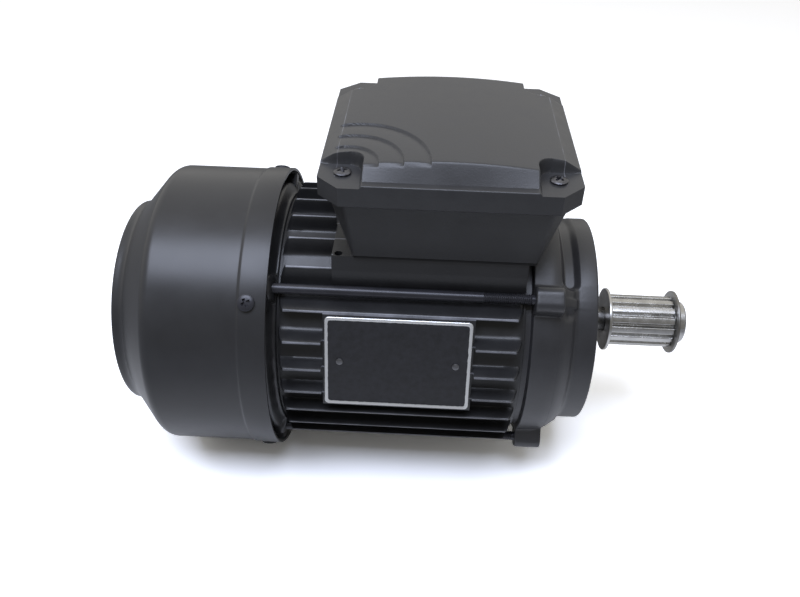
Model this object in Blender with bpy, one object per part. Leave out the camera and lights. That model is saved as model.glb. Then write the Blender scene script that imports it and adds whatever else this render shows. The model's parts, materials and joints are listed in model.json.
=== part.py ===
# Small flange-mounted induction motor with a finned frame, a fan cowl, a terminal box and a belt pulley.
# Sizes are in millimetres and become metres where a mesh is made. Along the motor, x is measured from
# the flange face, positive towards the pulley. Angles go round the axis from the plate side up to the box.

import math

import bpy
import bmesh
from mathutils import Matrix, Vector

MM = 0.001

# place of the flange face in the part's frame
FACE_X = 75.0

# corners where the tie rods run
CORNERS = (45.0, 135.0, 225.0, 315.0)

# finned frame
FRAME_REAR = -128.0
FRAME_FRONT = -30.0
FRAME_BORE_R = 48.0
VALLEY_R = 50.5
FIN_TIP_R = 56.6
FIN_PITCH = 11.1
FINS_PER_SIDE = 7
FIN_TIP_T = 1.5
FIN_ROOT_T = 2.6
# distances from either end of the frame: plain collar, full fins, end of the short ribs
COLLAR_R = 53.0
COLLAR_LENGTH = 3.4
FIN_START = 4.8
SHORT_RIB_R = 54.8
SHORT_RIB_END = 9.5

# seat for the terminal box, and pad for the name plate
SEAT_Z = 52.2
SEAT_HALF_Y = 35.4
SEAT_REAR = -106.5
SEAT_FRONT = -34.0
SEAT_ROOT_Z = 36.0
SEAT_HOLE = (-103.9, -32.4)
SEAT_HOLE_R = 1.6
CABLE_HOLE_R = 10.0
PLATE_X = -79.4
PLATE_ANGLE = 15.0
PLATE_PAD_R = 53.6
PLATE_LENGTH = 57.8
PLATE_HEIGHT = 38.2
PLATE_T = 0.6
PLATE_MARGIN = 0.9
PLATE_CORNER_R = 2.0
PAD_ROOT_R = 40.0
RIVET_OFFSET = 23.0
RIVET_HOLE_R = 1.25
RIVET_DEPTH = 5.1

# drive-end shield with its face flange
FLANGE_R = 45.0
FLANGE_T = 8.2
SPIGOT_R = 30.0
SPIGOT_H = 2.5
FACE_HOLE_CIRCLE_R = 37.5
FACE_HOLE_R = 2.1
FACE_HOLE_DEPTH = 6.5
DRUM_R = 51.8
DRUM_CURVE = ((-18.5, 51.5), (-14.5, 50.3), (-11.0, 47.6))
EAR_FRONT = -15.8
EAR_REAR = -28.2
EAR_R = 59.3
EAR_HALF = 5.4
EAR_ROOT_R = 44.0
BRIDGE_HALF = 2.6
BRIDGE_SIDE = ((-17.0, 41.0), (-17.0, 51.0), (-12.5, 48.6), (-9.0, 46.3), (-7.0, 44.5), (-7.0, 41.0))
SEAL_BORE_R = 11.3
SEAL_STOP_X = -3.9
SHAFT_HOLE_R = 8.6
HUB_R = 20.0
WEB_X = -8.5
WEB_R = (20.6, 34.0)
CAVITY_CURVE = ((-16.5, 38.4), (-22.0, 44.6))
SKIRT_R = 44.6
SKIRT_LENGTH = 4.0
POCKET_X = (-15.4, -8.3)
POCKET_FLOOR_R = 42.0
POCKET_SPAN = (51.0, 129.0)
ROD_CIRCLE_R = 54.5
ROD_R = 1.9
ROD_HOLE_R = 2.15
ROD_HEAD_R = 3.0
ROD_HEAD_H = 3.4

# fan-end shield
REAR_SHIELD_FRONT = -128.3
REAR_SHIELD_BACK = -134.0
REAR_SHIELD_R = 51.6
REAR_EAR_R = 58.6
REAR_WEB_T = 3.6
REAR_HUB_R = 24.0
LUG_ANGLE = 38.4
LUG_X = -137.8
LUG_ENDS = (-141.5, -130.5)
LUG_R = (46.0, 60.3)
LUG_HALF = 3.0
LUG_HOLE_R = 1.75
COWL_HOLE_R = 1.9

# fan cowl, pressed sheet
SHEET_T = 1.1
COWL_RIM_R = 62.5
COWL_R = 61.85
COWL_RIM_X = -130.4
COWL_STEP_X = -141.0
COWL_CREASE_X = -177.0
COWL_NECK_R = 46.0
COWL_NECK_X = -190.0
COWL_REAR_X = -197.0
COWL_REAR_R = 43.6
COWL_SEGMENTS = 48
# the motor lies on one flat of the cowl rim
AXIS_Z = COWL_RIM_R * math.cos(math.pi / COWL_SEGMENTS)
GRILLE_RINGS = ((12.0, 19.0), (23.0, 30.0), (34.0, 41.0))
GRILLE_SPOKES = 6

# bearings, one size at both ends
BEARING_BORE_R = 6.0
BEARING_R = 16.0
BEARING_W = 10.0
BEARING_FRONT_X = -11.6
BEARING_REAR_X = -132.0
BALL_COUNT = 8
BALL_CIRCLE_R = 11.0
BALL_R = 2.2
CAGE_R = 0.9
OUTER_RACE_R = 13.7
INNER_RACE_R = 8.4
SPRING_R = (12.6, 15.6)
SPRING_HALF_T = 0.15
SPRING_WAVE = 0.35

# rotor and stator cores
CORE_REAR = -112.0
CORE_FRONT = -46.0
CORE_SLOTS = 18
SLOT_DEPTH = 10.5
STATOR_BORE_R = 25.0
WINDING_R = (28.0, 43.2)
WINDING_LENGTH = 12.0
WINDING_ROUND = 3.0
ROTOR_R = 24.6
END_RING_R = (14.0, 23.8)
END_RING_LENGTH = 8.0
SHAFT_R = 7.8
SHAFT_END_R = 5.5
SHAFT_END_X = 45.0
SHAFT_REAR_X = -172.0
SHAFT_STEP_X = -4.0
FAN_SEAT_R = 5.6
CIRCLIP_GROOVE = (-170.6, -169.2)
CIRCLIP_GROOVE_R = 5.0
CIRCLIP = (-170.4, -169.4)
CIRCLIP_R = (5.2, 7.8)

# cooling fan
FAN_BLADES = 8
FAN_BLADE_HALF_T = 0.9
FAN_BLADE = ((-149.2, 9.5), (-149.2, 53.5), (-163.5, 53.5), (-166.5, 9.5))
FAN_HUB = ((-168.6, 5.9), (-168.6, 9.0), (-152.0, 10.5), (-150.6, 12.0))
FAN_DISC_X = (-150.6, -148.6)
FAN_DISC_R = 45.0

# toothed pulley
PULLEY_REAR = 12.0
TEETH_REAR = 13.4
TEETH_FRONT = 41.2
PULLEY_FRONT = 47.0
TOOTH_COUNT = 15
TOOTH_TIP_R = 11.5
TOOTH_ROOT_R = 9.7
PULLEY_HUB_R = 9.2
PULLEY_FLANGE_R = 14.1
KEY_W = 4.0
KEY_BASE = 3.2
KEY_TOP = 7.2
KEY_ENDS = (15.2, 40.8)

# terminal box
BOX_X = -62.8
BOX_BASE_Z = 53.4
BOX_TOP_Z = 81.0
BOX_BASE_HALF = 35.9
BOX_TOP_HALF = 43.6
BOX_CHAMFER = 6.0
BOX_WALL = 2.5
BOX_FLOOR = 3.0
LID_HALF_X = 47.0
LID_HALF_Y = 46.6
LID_CHAMFER = 8.0
LID_BASE_Z = 81.3
LID_RIM_Z = 89.6
PANEL_HALF_X = 40.8
PANEL_HALF_Y = 38.4
PANEL_EDGE_Z = 92.6
PANEL_CROWN = 3.8
LID_SCREW = (38.2, 35.6)
LID_NOTCH = 7.4
LID_NOTCH_ROUND = 6.0
LID_LIP_HALF = 44.1
LID_LIP_Z = 82.7
LID_RECESS = ((33.0, 30.0), (32.0, 29.0))
LID_RECESS_Z = 88.3
LID_POST_R = 3.6
LID_POST_H = 6.0
LID_HOLE_R = 1.9
BOX_SCREWS = ((-28.0, -24.0), (24.0, 24.0))
BOX_SCREW_HOLE_R = 2.0
# cable entry on the side away from the name plate, its height measured from the seat
ENTRY_R = 12.5
ENTRY_HOLE_R = 8.2
ENTRY_FACE = 45.2
ENTRY_Z = 16.0
PLUG_HEX_R = 10.6
PLUG_HEX_H = 5.0
PLUG_R = 7.9
PLUG_DEPTH = 9.5
GASKET_OUTER = (43.2, 43.2, 6.2)
GASKET_INNER = (42.2, 41.4, 3.6)
GASKET_T = 1.2
SEAT_GASKET_HALF = (35.4, 30.4)
SEAT_GASKET_Z = (0.15, 1.05)

# terminal board and its fittings
BOARD_HALF = (23.0, 13.0)
BOARD_H = 7.0
BOARD_Y = -14.0
STUD_X = (-14.0, 0.0, 14.0)
STUD_Y = (-8.0, 8.0)
STUD_R = 1.9
STUD_LENGTH = (-4.5, 9.0)
NUT_R = 3.4
NUT_ENDS = (1.4, 4.2)
LINK_LEVELS = (0.2, 1.1)
LINK_EYE_R = 2.3
EARTH_SCREW_AT = (26.0, 8.0)

# screws and rivets: head radius, head height, shank radius, shank length
COWL_SCREW = (3.3, 1.7, 1.5, 9.5)
LID_SCREW_SIZE = (3.2, 1.6, 1.5, 12.0)
BOX_SCREW_SIZE = (3.6, 2.4, 1.6, 11.0)
EARTH_SCREW = (3.4, 2.4, 1.7, 2.2)
RIVET = (1.9, 0.8, 1.0, 4.0)

# gap between neighbouring pieces, and between a piece and the hole it sits in
GAP = 0.3
PLAY = 0.2

# sides of round shapes: large castings, inner rings, pieces on the shaft, small holes and screws
CASTING_SIDES = 36
RING_SIDES = 20
SHAFT_SIDES = 20
SMALL_SIDES = 8


def clear_scene():
    for obj in list(bpy.data.objects):
        bpy.data.objects.remove(obj, do_unlink=True)


def material(name, colour, metallic, roughness):
    mat = bpy.data.materials.new(name)
    mat.use_nodes = True
    shader = mat.node_tree.nodes["Principled BSDF"]
    shader.inputs["Base Color"].default_value = (*colour, 1.0)
    shader.inputs["Metallic"].default_value = metallic
    shader.inputs["Roughness"].default_value = roughness
    mat.diffuse_color = (*colour, 1.0)
    return mat


def empty(name, location, parent=None):
    obj = bpy.data.objects.new(name, None)
    obj.location = Vector(location) * MM
    obj.parent = parent
    bpy.context.scene.collection.objects.link(obj)
    return obj


def put(name, shape, mat, parent, location=(0.0, 0.0, 0.0), turn=None):
    verts, faces = shape
    mesh = bpy.data.meshes.new(name)
    mesh.from_pydata([(x * MM, y * MM, z * MM) for x, y, z in verts], [], faces)
    bm = bmesh.new()
    bm.from_mesh(mesh)
    bmesh.ops.triangulate(bm, faces=bm.faces)
    bmesh.ops.recalc_face_normals(bm, faces=bm.faces)
    bm.to_mesh(mesh)
    bm.free()
    if mat is not None:
        mesh.materials.append(mat)
    obj = bpy.data.objects.new(name, mesh)
    obj.parent = parent
    obj.location = Vector(location) * MM
    if turn is not None:
        obj.rotation_euler = turn.to_euler()
    bpy.context.scene.collection.objects.link(obj)
    return obj


def change(target, shape, operation):
    # hidden helper body taken from the target or joined to it
    name = target.name + "_" + operation.lower() + str(len(target.modifiers))
    helper = put(name, shape, None, target.parent, tuple(target.location / MM))
    helper.rotation_euler = target.rotation_euler
    helper.hide_render = True
    helper.display_type = "WIRE"
    step = target.modifiers.new(operation.title(), "BOOLEAN")
    step.operation = operation
    step.solver = "EXACT"
    step.object = helper


def about_axis(degrees):
    return Matrix.Rotation(-math.radians(degrees), 4, "X")


def outward(degrees):
    # turns a piece made along +x so that +x points away from the motor axis
    return about_axis(degrees) @ Matrix.Rotation(-math.pi / 2, 4, "Z")


UPRIGHT = Matrix.Rotation(-math.pi / 2, 4, "Y")
ACROSS = Matrix.Rotation(math.pi / 2, 4, "Z")


def moved(shape, matrix, offset=(0.0, 0.0, 0.0)):
    verts, faces = shape
    shift = Vector(offset)
    return [tuple(matrix @ Vector(v) + shift) for v in verts], faces


def together(shapes):
    verts = []
    faces = []
    for more_verts, more_faces in shapes:
        start = len(verts)
        verts.extend(more_verts)
        faces.extend([start + i for i in face] for face in more_faces)
    return verts, faces


def turned(profile, segments):
    # closed loop of (x, radius) spun about the x axis
    verts = []
    rows = []
    for x, r in profile:
        if r == 0:
            rows.append([len(verts)] * segments)
            verts.append((x, 0.0, 0.0))
            continue
        rows.append(list(range(len(verts), len(verts) + segments)))
        for k in range(segments):
            angle = 2 * math.pi * k / segments
            verts.append((x, -r * math.cos(angle), r * math.sin(angle)))
    faces = []
    for row, following in zip(rows, rows[1:] + rows[:1]):
        for k in range(segments):
            n = (k + 1) % segments
            face = list(dict.fromkeys((row[k], row[n], following[n], following[k])))
            if len(face) > 2:
                faces.append(face)
    return verts, faces


def loft(loops, ring=False):
    # skin over loops of equal length, capped at both ends or joined into a ring
    count = len(loops[0])
    verts = [point for loop in loops for point in loop]
    faces = []
    pairs = len(loops) if ring else len(loops) - 1
    for i in range(pairs):
        a = i * count
        b = (i + 1) % len(loops) * count
        for k in range(count):
            n = (k + 1) % count
            faces.append([a + k, a + n, b + n, b + k])
    if not ring:
        faces.append(list(range(count)))
        faces.append(list(range(len(verts) - count, len(verts))))
    return verts, faces


def prism(outline, x0, x1):
    return loft([[(x, y, z) for y, z in outline] for x in (x0, x1)])


def block(x0, x1, y0, y1, z0, z1):
    return prism(((y0, z0), (y1, z0), (y1, z1), (y0, z1)), x0, x1)


def rod(radius, x0, x1, segments=SMALL_SIDES):
    return turned(((x0, 0), (x0, radius), (x1, radius), (x1, 0)), segments)


def ring(inner, outer, x0, x1, segments=RING_SIDES):
    return turned(((x0, inner), (x0, outer), (x1, outer), (x1, inner)), segments)


def fin_outline(valley_r, fin_r, short_rib_r):
    # four sides of parallel fins, with low ribs halfway between them and bare corners for the tie rods
    half = FINS_PER_SIDE // 2
    features = [(k * FIN_PITCH, fin_r, FIN_TIP_T) for k in range(-half, half + 1)]
    features += [((k + 0.5) * FIN_PITCH, short_rib_r, 0.0) for k in range(-half, half)]
    local = []
    for v, tip_r, tip_t in sorted(features):
        local.append((v - FIN_ROOT_T / 2, valley_r))
        if tip_t > 0:
            local.append((v - tip_t / 2, tip_r))
        local.append((v + tip_t / 2, tip_r))
        local.append((v + FIN_ROOT_T / 2, valley_r))
    local.append((VALLEY_R / math.sqrt(2), VALLEY_R))
    points = []
    for side in range(4):
        for v, r in local:
            angle = math.asin(v / r) + math.radians(90 * side)
            points.append((-r * math.cos(angle), r * math.sin(angle)))
    return points


def frame_body():
    # the fins rise out of a plain collar at each end; the short ribs rise with them and run out again
    flush = 0.05
    rear = (
        (0.0, COLLAR_R, COLLAR_R + flush, COLLAR_R + flush),
        (COLLAR_LENGTH, COLLAR_R, COLLAR_R + flush, COLLAR_R + flush),
        (FIN_START, VALLEY_R, FIN_TIP_R, SHORT_RIB_R),
        (SHORT_RIB_END, VALLEY_R, FIN_TIP_R, VALLEY_R + flush),
    )
    stations = [(FRAME_REAR + x, *radii) for x, *radii in rear]
    stations += [(FRAME_FRONT - x, *radii) for x, *radii in reversed(rear)]
    return loft([[(x, y, z) for y, z in fin_outline(*radii)] for x, *radii in stations])


def stator_frame(axis, mat):
    frame = put("stator_frame", frame_body(), mat, axis)

    # the seat and the pad are made a little proud, then planed flat with room around them
    proud = 2.0
    clear = 0.5
    beyond = 70.0
    seat = block(SEAT_REAR, SEAT_FRONT, -SEAT_HALF_Y, SEAT_HALF_Y, SEAT_ROOT_Z, SEAT_Z + proud)
    half_l = PLATE_LENGTH / 2 + PLATE_MARGIN
    half_h = PLATE_HEIGHT / 2 + PLATE_MARGIN
    pad = block(PLATE_X - half_l, PLATE_X + half_l, -PLATE_PAD_R - proud, -PAD_ROOT_R, -half_h, half_h)
    change(frame, seat, "UNION")
    change(frame, moved(pad, about_axis(PLATE_ANGLE)), "UNION")

    wide = SEAT_HALF_Y + clear
    over_seat = block(SEAT_REAR - clear, FRAME_FRONT + proud, -wide, wide, SEAT_Z, beyond)
    half_l += clear
    half_h += clear
    over_pad = block(PLATE_X - half_l, PLATE_X + half_l, -beyond, -PLATE_PAD_R, -half_h, half_h)
    change(frame, rod(FRAME_BORE_R, FRAME_REAR - proud, FRAME_FRONT + proud, CASTING_SIDES), "DIFFERENCE")
    change(frame, over_seat, "DIFFERENCE")
    change(frame, moved(over_pad, about_axis(PLATE_ANGLE)), "DIFFERENCE")

    holes = [
        moved(rod(CABLE_HOLE_R, SEAT_ROOT_Z, beyond, RING_SIDES), UPRIGHT, (BOX_X, 0.0, 0.0)),
        moved(rod(SEAT_HOLE_R, VALLEY_R - clear, beyond), UPRIGHT, (*SEAT_HOLE, 0.0)),
    ]
    for x, y in BOX_SCREWS:
        holes.append(moved(rod(BOX_SCREW_HOLE_R, SEAT_Z - 9.2, beyond), UPRIGHT, (BOX_X + x, y, 0.0)))
    for side in (-1, 1):
        hole = rod(RIVET_HOLE_R, PLATE_PAD_R - RIVET_DEPTH, beyond)
        holes.append(moved(hole, outward(PLATE_ANGLE), (PLATE_X + side * RIVET_OFFSET, 0.0, 0.0)))
    change(frame, together(holes), "DIFFERENCE")


def ear(x0, x1, outer):
    # rounded block on the shield that takes a tie rod, drawn at angle zero
    right = ((outer, EAR_HALF - 3.4), (outer - 1.2, EAR_HALF - 1.3), (outer - 4.4, EAR_HALF),
             (EAR_ROOT_R, EAR_HALF + 1.4))
    outline = [(-r, -z) for r, z in reversed(right)] + [(-r, z) for r, z in right]
    return prism(outline, x0, x1)


def bent_slot(x_range, r0, r1, degrees, steps=14):
    # slot with round ends that follows the drum
    x0, x1 = x_range
    middle = (x0 + x1) / 2
    half = (x1 - x0) / 2
    start, stop = degrees
    end_span = math.degrees(half / r1)
    loops = []
    for k in range(steps + 1):
        share = 0.5 - 0.5 * math.cos(math.pi * k / steps)
        angle = start + (stop - start) * share
        to_end = min(angle - start, stop - angle) / end_span
        width = half * math.sqrt(max(0.06, 1 - max(0.0, 1 - to_end) ** 2))
        c = -math.cos(math.radians(angle))
        s = math.sin(math.radians(angle))
        corners = ((middle - width, r0), (middle + width, r0), (middle + width, r1), (middle - width, r1))
        loops.append([(x, r * c, r * s) for x, r in corners])
    return loft(loops)


def drive_end_shield(axis, mat):
    outer_seat = BEARING_R + PLAY
    seat_front = BEARING_FRONT_X + BEARING_W / 2 + GAP
    seat_back = BEARING_FRONT_X - BEARING_W / 2
    rear = FRAME_FRONT + GAP
    skirt_rear = FRAME_FRONT - SKIRT_LENGTH
    profile = (
        (rear, DRUM_R),
        *DRUM_CURVE,
        (-FLANGE_T, FLANGE_R),
        (0.0, FLANGE_R),
        (0.0, SPIGOT_R),
        (SPIGOT_H, SPIGOT_R),
        (SPIGOT_H, SEAL_BORE_R),
        (SEAL_STOP_X, SEAL_BORE_R),
        (SEAL_STOP_X, SHAFT_HOLE_R),
        (seat_front, SHAFT_HOLE_R),
        (seat_front, outer_seat),
        (seat_back, outer_seat),
        (seat_back, HUB_R),
        (WEB_X, WEB_R[0]),
        (WEB_X, WEB_R[1]),
        *CAVITY_CURVE,
        (skirt_rear, SKIRT_R),
        (skirt_rear, FRAME_BORE_R - GAP),
        (rear, FRAME_BORE_R - GAP),
    )
    shield = put("drive_end_shield", turned(profile, CASTING_SIDES), mat, axis)
    ears = [moved(ear(EAR_REAR, EAR_FRONT, EAR_R), about_axis(a)) for a in CORNERS]
    bridge = loft([[(x, -r, z) for x, r in BRIDGE_SIDE] for z in (-BRIDGE_HALF, BRIDGE_HALF)])
    bridges = [moved(bridge, about_axis(a)) for a in CORNERS]
    low, high = POCKET_SPAN
    pockets = [bent_slot(POCKET_X, POCKET_FLOOR_R, EAR_R + 2, (low + turn, high + turn)) for turn in (0, 180)]
    change(shield, together(ears), "UNION")
    change(shield, together(pockets), "DIFFERENCE")
    change(shield, together(bridges), "UNION")
    holes = []
    for a in CORNERS:
        rod_hole = rod(ROD_HOLE_R, skirt_rear, EAR_FRONT - 1.6)
        face_hole = rod(FACE_HOLE_R, -FACE_HOLE_DEPTH, SPIGOT_H, 12)
        holes.append(moved(rod_hole, about_axis(a), radial(ROD_CIRCLE_R, a)))
        holes.append(moved(face_hole, about_axis(a), radial(FACE_HOLE_CIRCLE_R, a)))
    change(shield, together(holes), "DIFFERENCE")


def radial(r, degrees, x=0.0):
    a = math.radians(degrees)
    return (x, -r * math.cos(a), r * math.sin(a))


def lug_angle(corner):
    # the cowl lugs sit a little to one side of the ears
    return corner - CORNERS[0] + LUG_ANGLE


def fan_end_shield(axis, mat):
    outer_seat = BEARING_R + PLAY
    seat_back = BEARING_REAR_X - BEARING_W / 2 - 1.6
    seat_front = BEARING_REAR_X + BEARING_W / 2
    hub_back = seat_back - 2.4
    web_front = REAR_SHIELD_BACK + REAR_WEB_T
    skirt_front = FRAME_REAR + SKIRT_LENGTH
    profile = (
        (REAR_SHIELD_FRONT, REAR_SHIELD_R),
        (REAR_SHIELD_BACK, REAR_SHIELD_R),
        (REAR_SHIELD_BACK, REAR_HUB_R),
        (hub_back, HUB_R),
        (hub_back, SHAFT_HOLE_R),
        (seat_back, SHAFT_HOLE_R),
        (seat_back, outer_seat),
        (seat_front, outer_seat),
        (seat_front, HUB_R),
        (web_front, HUB_R + 1),
        (web_front, SKIRT_R - 4),
        (REAR_SHIELD_FRONT, SKIRT_R),
        (skirt_front, SKIRT_R),
        (skirt_front, FRAME_BORE_R - GAP),
        (REAR_SHIELD_FRONT, FRAME_BORE_R - GAP),
    )
    shield = put("fan_end_shield", turned(profile, CASTING_SIDES), mat, axis)
    ears = []
    lugs = []
    holes = []
    for a in CORNERS:
        ears.append(moved(ear(REAR_SHIELD_BACK, REAR_SHIELD_FRONT, REAR_EAR_R), about_axis(a)))
        lug = block(*LUG_ENDS, -LUG_R[1], -LUG_R[0], -LUG_HALF, LUG_HALF)
        lugs.append(moved(lug, about_axis(lug_angle(a))))
        rod_hole = rod(ROD_HOLE_R, LUG_ENDS[0] - 1, skirt_front)
        holes.append(moved(rod_hole, about_axis(a), radial(ROD_CIRCLE_R, a)))
        holes.append(moved(rod(LUG_HOLE_R, 50.0, LUG_R[1] + 1), outward(lug_angle(a)), (LUG_X, 0.0, 0.0)))
    change(shield, together(ears), "UNION")
    change(shield, together(lugs), "UNION")
    change(shield, together(holes), "DIFFERENCE")


def tie_rods(axis, mat):
    head = REAR_SHIELD_BACK - GAP
    profile = (
        (head - ROD_HEAD_H, 0),
        (head - ROD_HEAD_H, ROD_HEAD_R - 0.5),
        (head - ROD_HEAD_H + 0.5, ROD_HEAD_R),
        (head, ROD_HEAD_R),
        (head, ROD_R),
        (EAR_FRONT - 2.0, ROD_R),
        (EAR_FRONT - 2.0, 0),
    )
    for n, a in enumerate(CORNERS, 1):
        put(f"tie_rod_{n}", turned(profile, 10), mat, axis, radial(ROD_CIRCLE_R, a))


def fan_cowl(axis, mat):
    # one sheet turned about the axis; faces are left out where the grille is open
    profile = [
        (COWL_RIM_X, COWL_RIM_R),
        (COWL_STEP_X, COWL_RIM_R),
        (COWL_STEP_X - 0.8, COWL_R),
        (COWL_CREASE_X + 2.0, COWL_R),
        (COWL_CREASE_X - 1.6, COWL_R - 2.2),
        (COWL_NECK_X + 1.0, COWL_NECK_R + 0.8),
        (COWL_NECK_X - 0.8, COWL_NECK_R - 0.6),
        (COWL_REAR_X + 1.4, COWL_NECK_R - 0.9),
        (COWL_REAR_X, COWL_REAR_R - 0.6),
    ]
    slot_rows = set()
    for inner, outer in reversed(GRILLE_RINGS):
        slot_rows.add(len(profile))
        profile.append((COWL_REAR_X, outer))
        profile.append((COWL_REAR_X, inner))
    profile.append((COWL_REAR_X, 5.0))
    verts = []
    for x, r in profile:
        for k in range(COWL_SEGMENTS):
            angle = 2 * math.pi * (k + 0.5) / COWL_SEGMENTS
            verts.append((x, -r * math.cos(angle), r * math.sin(angle)))
    verts.append((COWL_REAR_X, 0.0, 0.0))
    faces = []
    per_spoke = COWL_SEGMENTS // GRILLE_SPOKES
    for row in range(len(profile) - 1):
        for k in range(COWL_SEGMENTS):
            if row in slot_rows and k % per_spoke not in (0, per_spoke - 1):
                continue
            n = (k + 1) % COWL_SEGMENTS
            a = row * COWL_SEGMENTS
            b = a + COWL_SEGMENTS
            faces.append([a + k, b + k, b + n, a + n])
    last = (len(profile) - 1) * COWL_SEGMENTS
    for k in range(COWL_SEGMENTS):
        faces.append([last + k, len(verts) - 1, last + (k + 1) % COWL_SEGMENTS])
    cowl = put("fan_cowl", (verts, faces), mat, axis)
    sheet = cowl.modifiers.new("Sheet", "SOLIDIFY")
    sheet.thickness = SHEET_T * MM
    sheet.offset = -1.0
    sheet.use_even_offset = True
    holes = []
    for a in CORNERS:
        hole = rod(COWL_HOLE_R, LUG_R[1] - 3, COWL_RIM_R + 3)
        holes.append(moved(hole, outward(lug_angle(a)), (LUG_X, 0.0, 0.0)))
    change(cowl, together(holes), "DIFFERENCE")


def screw_shape(head_r, head_h, shank_r, length):
    # head above x = 0, shank below
    return turned(
        (
            (-length, 0),
            (-length, shank_r),
            (0.0, shank_r),
            (0.0, head_r),
            (head_h * 0.55, head_r * 0.94),
            (head_h, head_r * 0.6),
            (head_h, 0),
        ),
        SMALL_SIDES,
    )


def cowl_screws(axis, mat):
    shape = screw_shape(*COWL_SCREW)
    for n, a in enumerate(CORNERS, 1):
        at = radial(COWL_RIM_R + GAP / 2, lug_angle(a), LUG_X)
        put(f"cowl_screw_{n}", shape, mat, axis, at, outward(lug_angle(a)))


def stator_core(axis, mat):
    outer = []
    inner = []
    slot = 2 * math.pi / CORE_SLOTS
    for k in range(CORE_SLOTS):
        steps = ((0.30, 0.0), (0.22, SLOT_DEPTH), (0.78, SLOT_DEPTH), (0.70, 0.0))
        for share, depth in steps:
            angle = slot * (k + share)
            r = STATOR_BORE_R + depth
            inner.append((-r * math.cos(angle), r * math.sin(angle)))
        for share in (0.12, 0.37, 0.63, 0.88):
            angle = slot * (k + share)
            r = FRAME_BORE_R - GAP
            outer.append((-r * math.cos(angle), r * math.sin(angle)))
    loops = []
    for x, outline in ((CORE_REAR, outer), (CORE_FRONT, outer), (CORE_FRONT, inner), (CORE_REAR, inner)):
        loops.append([(x, y, z) for y, z in outline])
    put("stator_core", loft(loops, ring=True), mat, axis)


def end_winding(name, x0, x1, axis, mat):
    inner, outer = WINDING_R
    profile = (
        (x0, inner + WINDING_ROUND),
        (x0, outer - WINDING_ROUND),
        (x0 + WINDING_ROUND, outer),
        (x1 - WINDING_ROUND, outer),
        (x1, outer - WINDING_ROUND),
        (x1, inner + WINDING_ROUND),
        (x1 - WINDING_ROUND, inner),
        (x0 + WINDING_ROUND, inner),
    )
    put(name, turned(profile, RING_SIDES), mat, axis)


def bearing(end, x, axis, rotor, mat):
    half = BEARING_W / 2
    outer = ring(OUTER_RACE_R, BEARING_R, -half, half)
    inner = ring(BEARING_BORE_R + PLAY, INNER_RACE_R, -half, half)
    put(f"bearing_outer_ring_{end}", outer, mat, axis, (x, 0.0, 0.0))
    put(f"bearing_inner_ring_{end}", inner, mat, rotor, (x, 0.0, 0.0))
    per_ball = 4
    loops = []
    for k in range(BALL_COUNT * per_ball):
        swell = 0.5 + 0.5 * math.cos(2 * math.pi * k / per_ball)
        tube = CAGE_R + (BALL_R - CAGE_R) * math.sqrt(swell)
        angle = 2 * math.pi * k / (BALL_COUNT * per_ball)
        loop = []
        for j in range(5):
            around = 2 * math.pi * j / 5
            r = BALL_CIRCLE_R + tube * math.cos(around)
            loop.append((tube * math.sin(around), -r * math.cos(angle), r * math.sin(angle)))
        loops.append(loop)
    spin = empty(f"ball_axis_{end}", (x, 0.0, 0.0), axis)
    put(f"ball_set_{end}", loft(loops, ring=True), mat, spin)


def wave_spring(axis, mat):
    loops = []
    steps = 24
    t = SPRING_HALF_T
    inner, outer = SPRING_R
    for k in range(steps):
        angle = 2 * math.pi * k / steps
        x = BEARING_REAR_X - BEARING_W / 2 - 0.85 + SPRING_WAVE * math.cos(3 * angle)
        corners = ((x - t, inner), (x + t, inner), (x + t, outer), (x - t, outer))
        loops.append([(px, -r * math.cos(angle), r * math.sin(angle)) for px, r in corners])
    put("wave_spring", loft(loops, ring=True), mat, axis)


def shaft_seal(axis, mat):
    profile = (
        (SPIGOT_H - 1.0, 11.0), (-3.6, 11.0), (-3.6, 9.0), (-2.4, 9.0), (-2.4, 9.6),
        (0.2, 8.2), (0.6, 5.8), (SPIGOT_H - 1.0, 6.4),
    )
    put("shaft_seal", turned(profile, RING_SIDES), mat, axis)


def shaft(rotor, mat):
    rear_seat = BEARING_REAR_X - BEARING_W / 2
    front_seat = BEARING_FRONT_X - BEARING_W / 2
    groove_rear, groove_front = CIRCLIP_GROOVE
    profile = (
        (SHAFT_REAR_X, 0),
        (SHAFT_REAR_X, FAN_SEAT_R),
        (groove_rear, FAN_SEAT_R),
        (groove_rear, CIRCLIP_GROOVE_R),
        (groove_front, CIRCLIP_GROOVE_R),
        (groove_front, FAN_SEAT_R),
        (rear_seat - 6.0, FAN_SEAT_R),
        (rear_seat - 6.0, BEARING_BORE_R),
        (rear_seat + BEARING_W + 0.4, BEARING_BORE_R),
        (rear_seat + BEARING_W + 0.4, SHAFT_R),
        (front_seat - 0.4, SHAFT_R),
        (front_seat - 0.4, BEARING_BORE_R),
        (SHAFT_STEP_X, BEARING_BORE_R),
        (SHAFT_STEP_X, SHAFT_END_R),
        (SHAFT_END_X - 0.8, SHAFT_END_R),
        (SHAFT_END_X, SHAFT_END_R - 0.8),
        (SHAFT_END_X, 0),
    )
    body = put("shaft", turned(profile, SHAFT_SIDES), mat, rotor)
    rear, front = KEY_ENDS
    half = KEY_W / 2 + PLAY / 2
    keyway = block(rear - PLAY, front + PLAY, -half, half, KEY_BASE - PLAY, KEY_TOP + SHAFT_END_R)
    change(body, keyway, "DIFFERENCE")


def shaft_key(rotor, mat):
    half = KEY_W / 2
    put("shaft_key", block(*KEY_ENDS, -half, half, KEY_BASE, KEY_TOP), mat, rotor)


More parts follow.
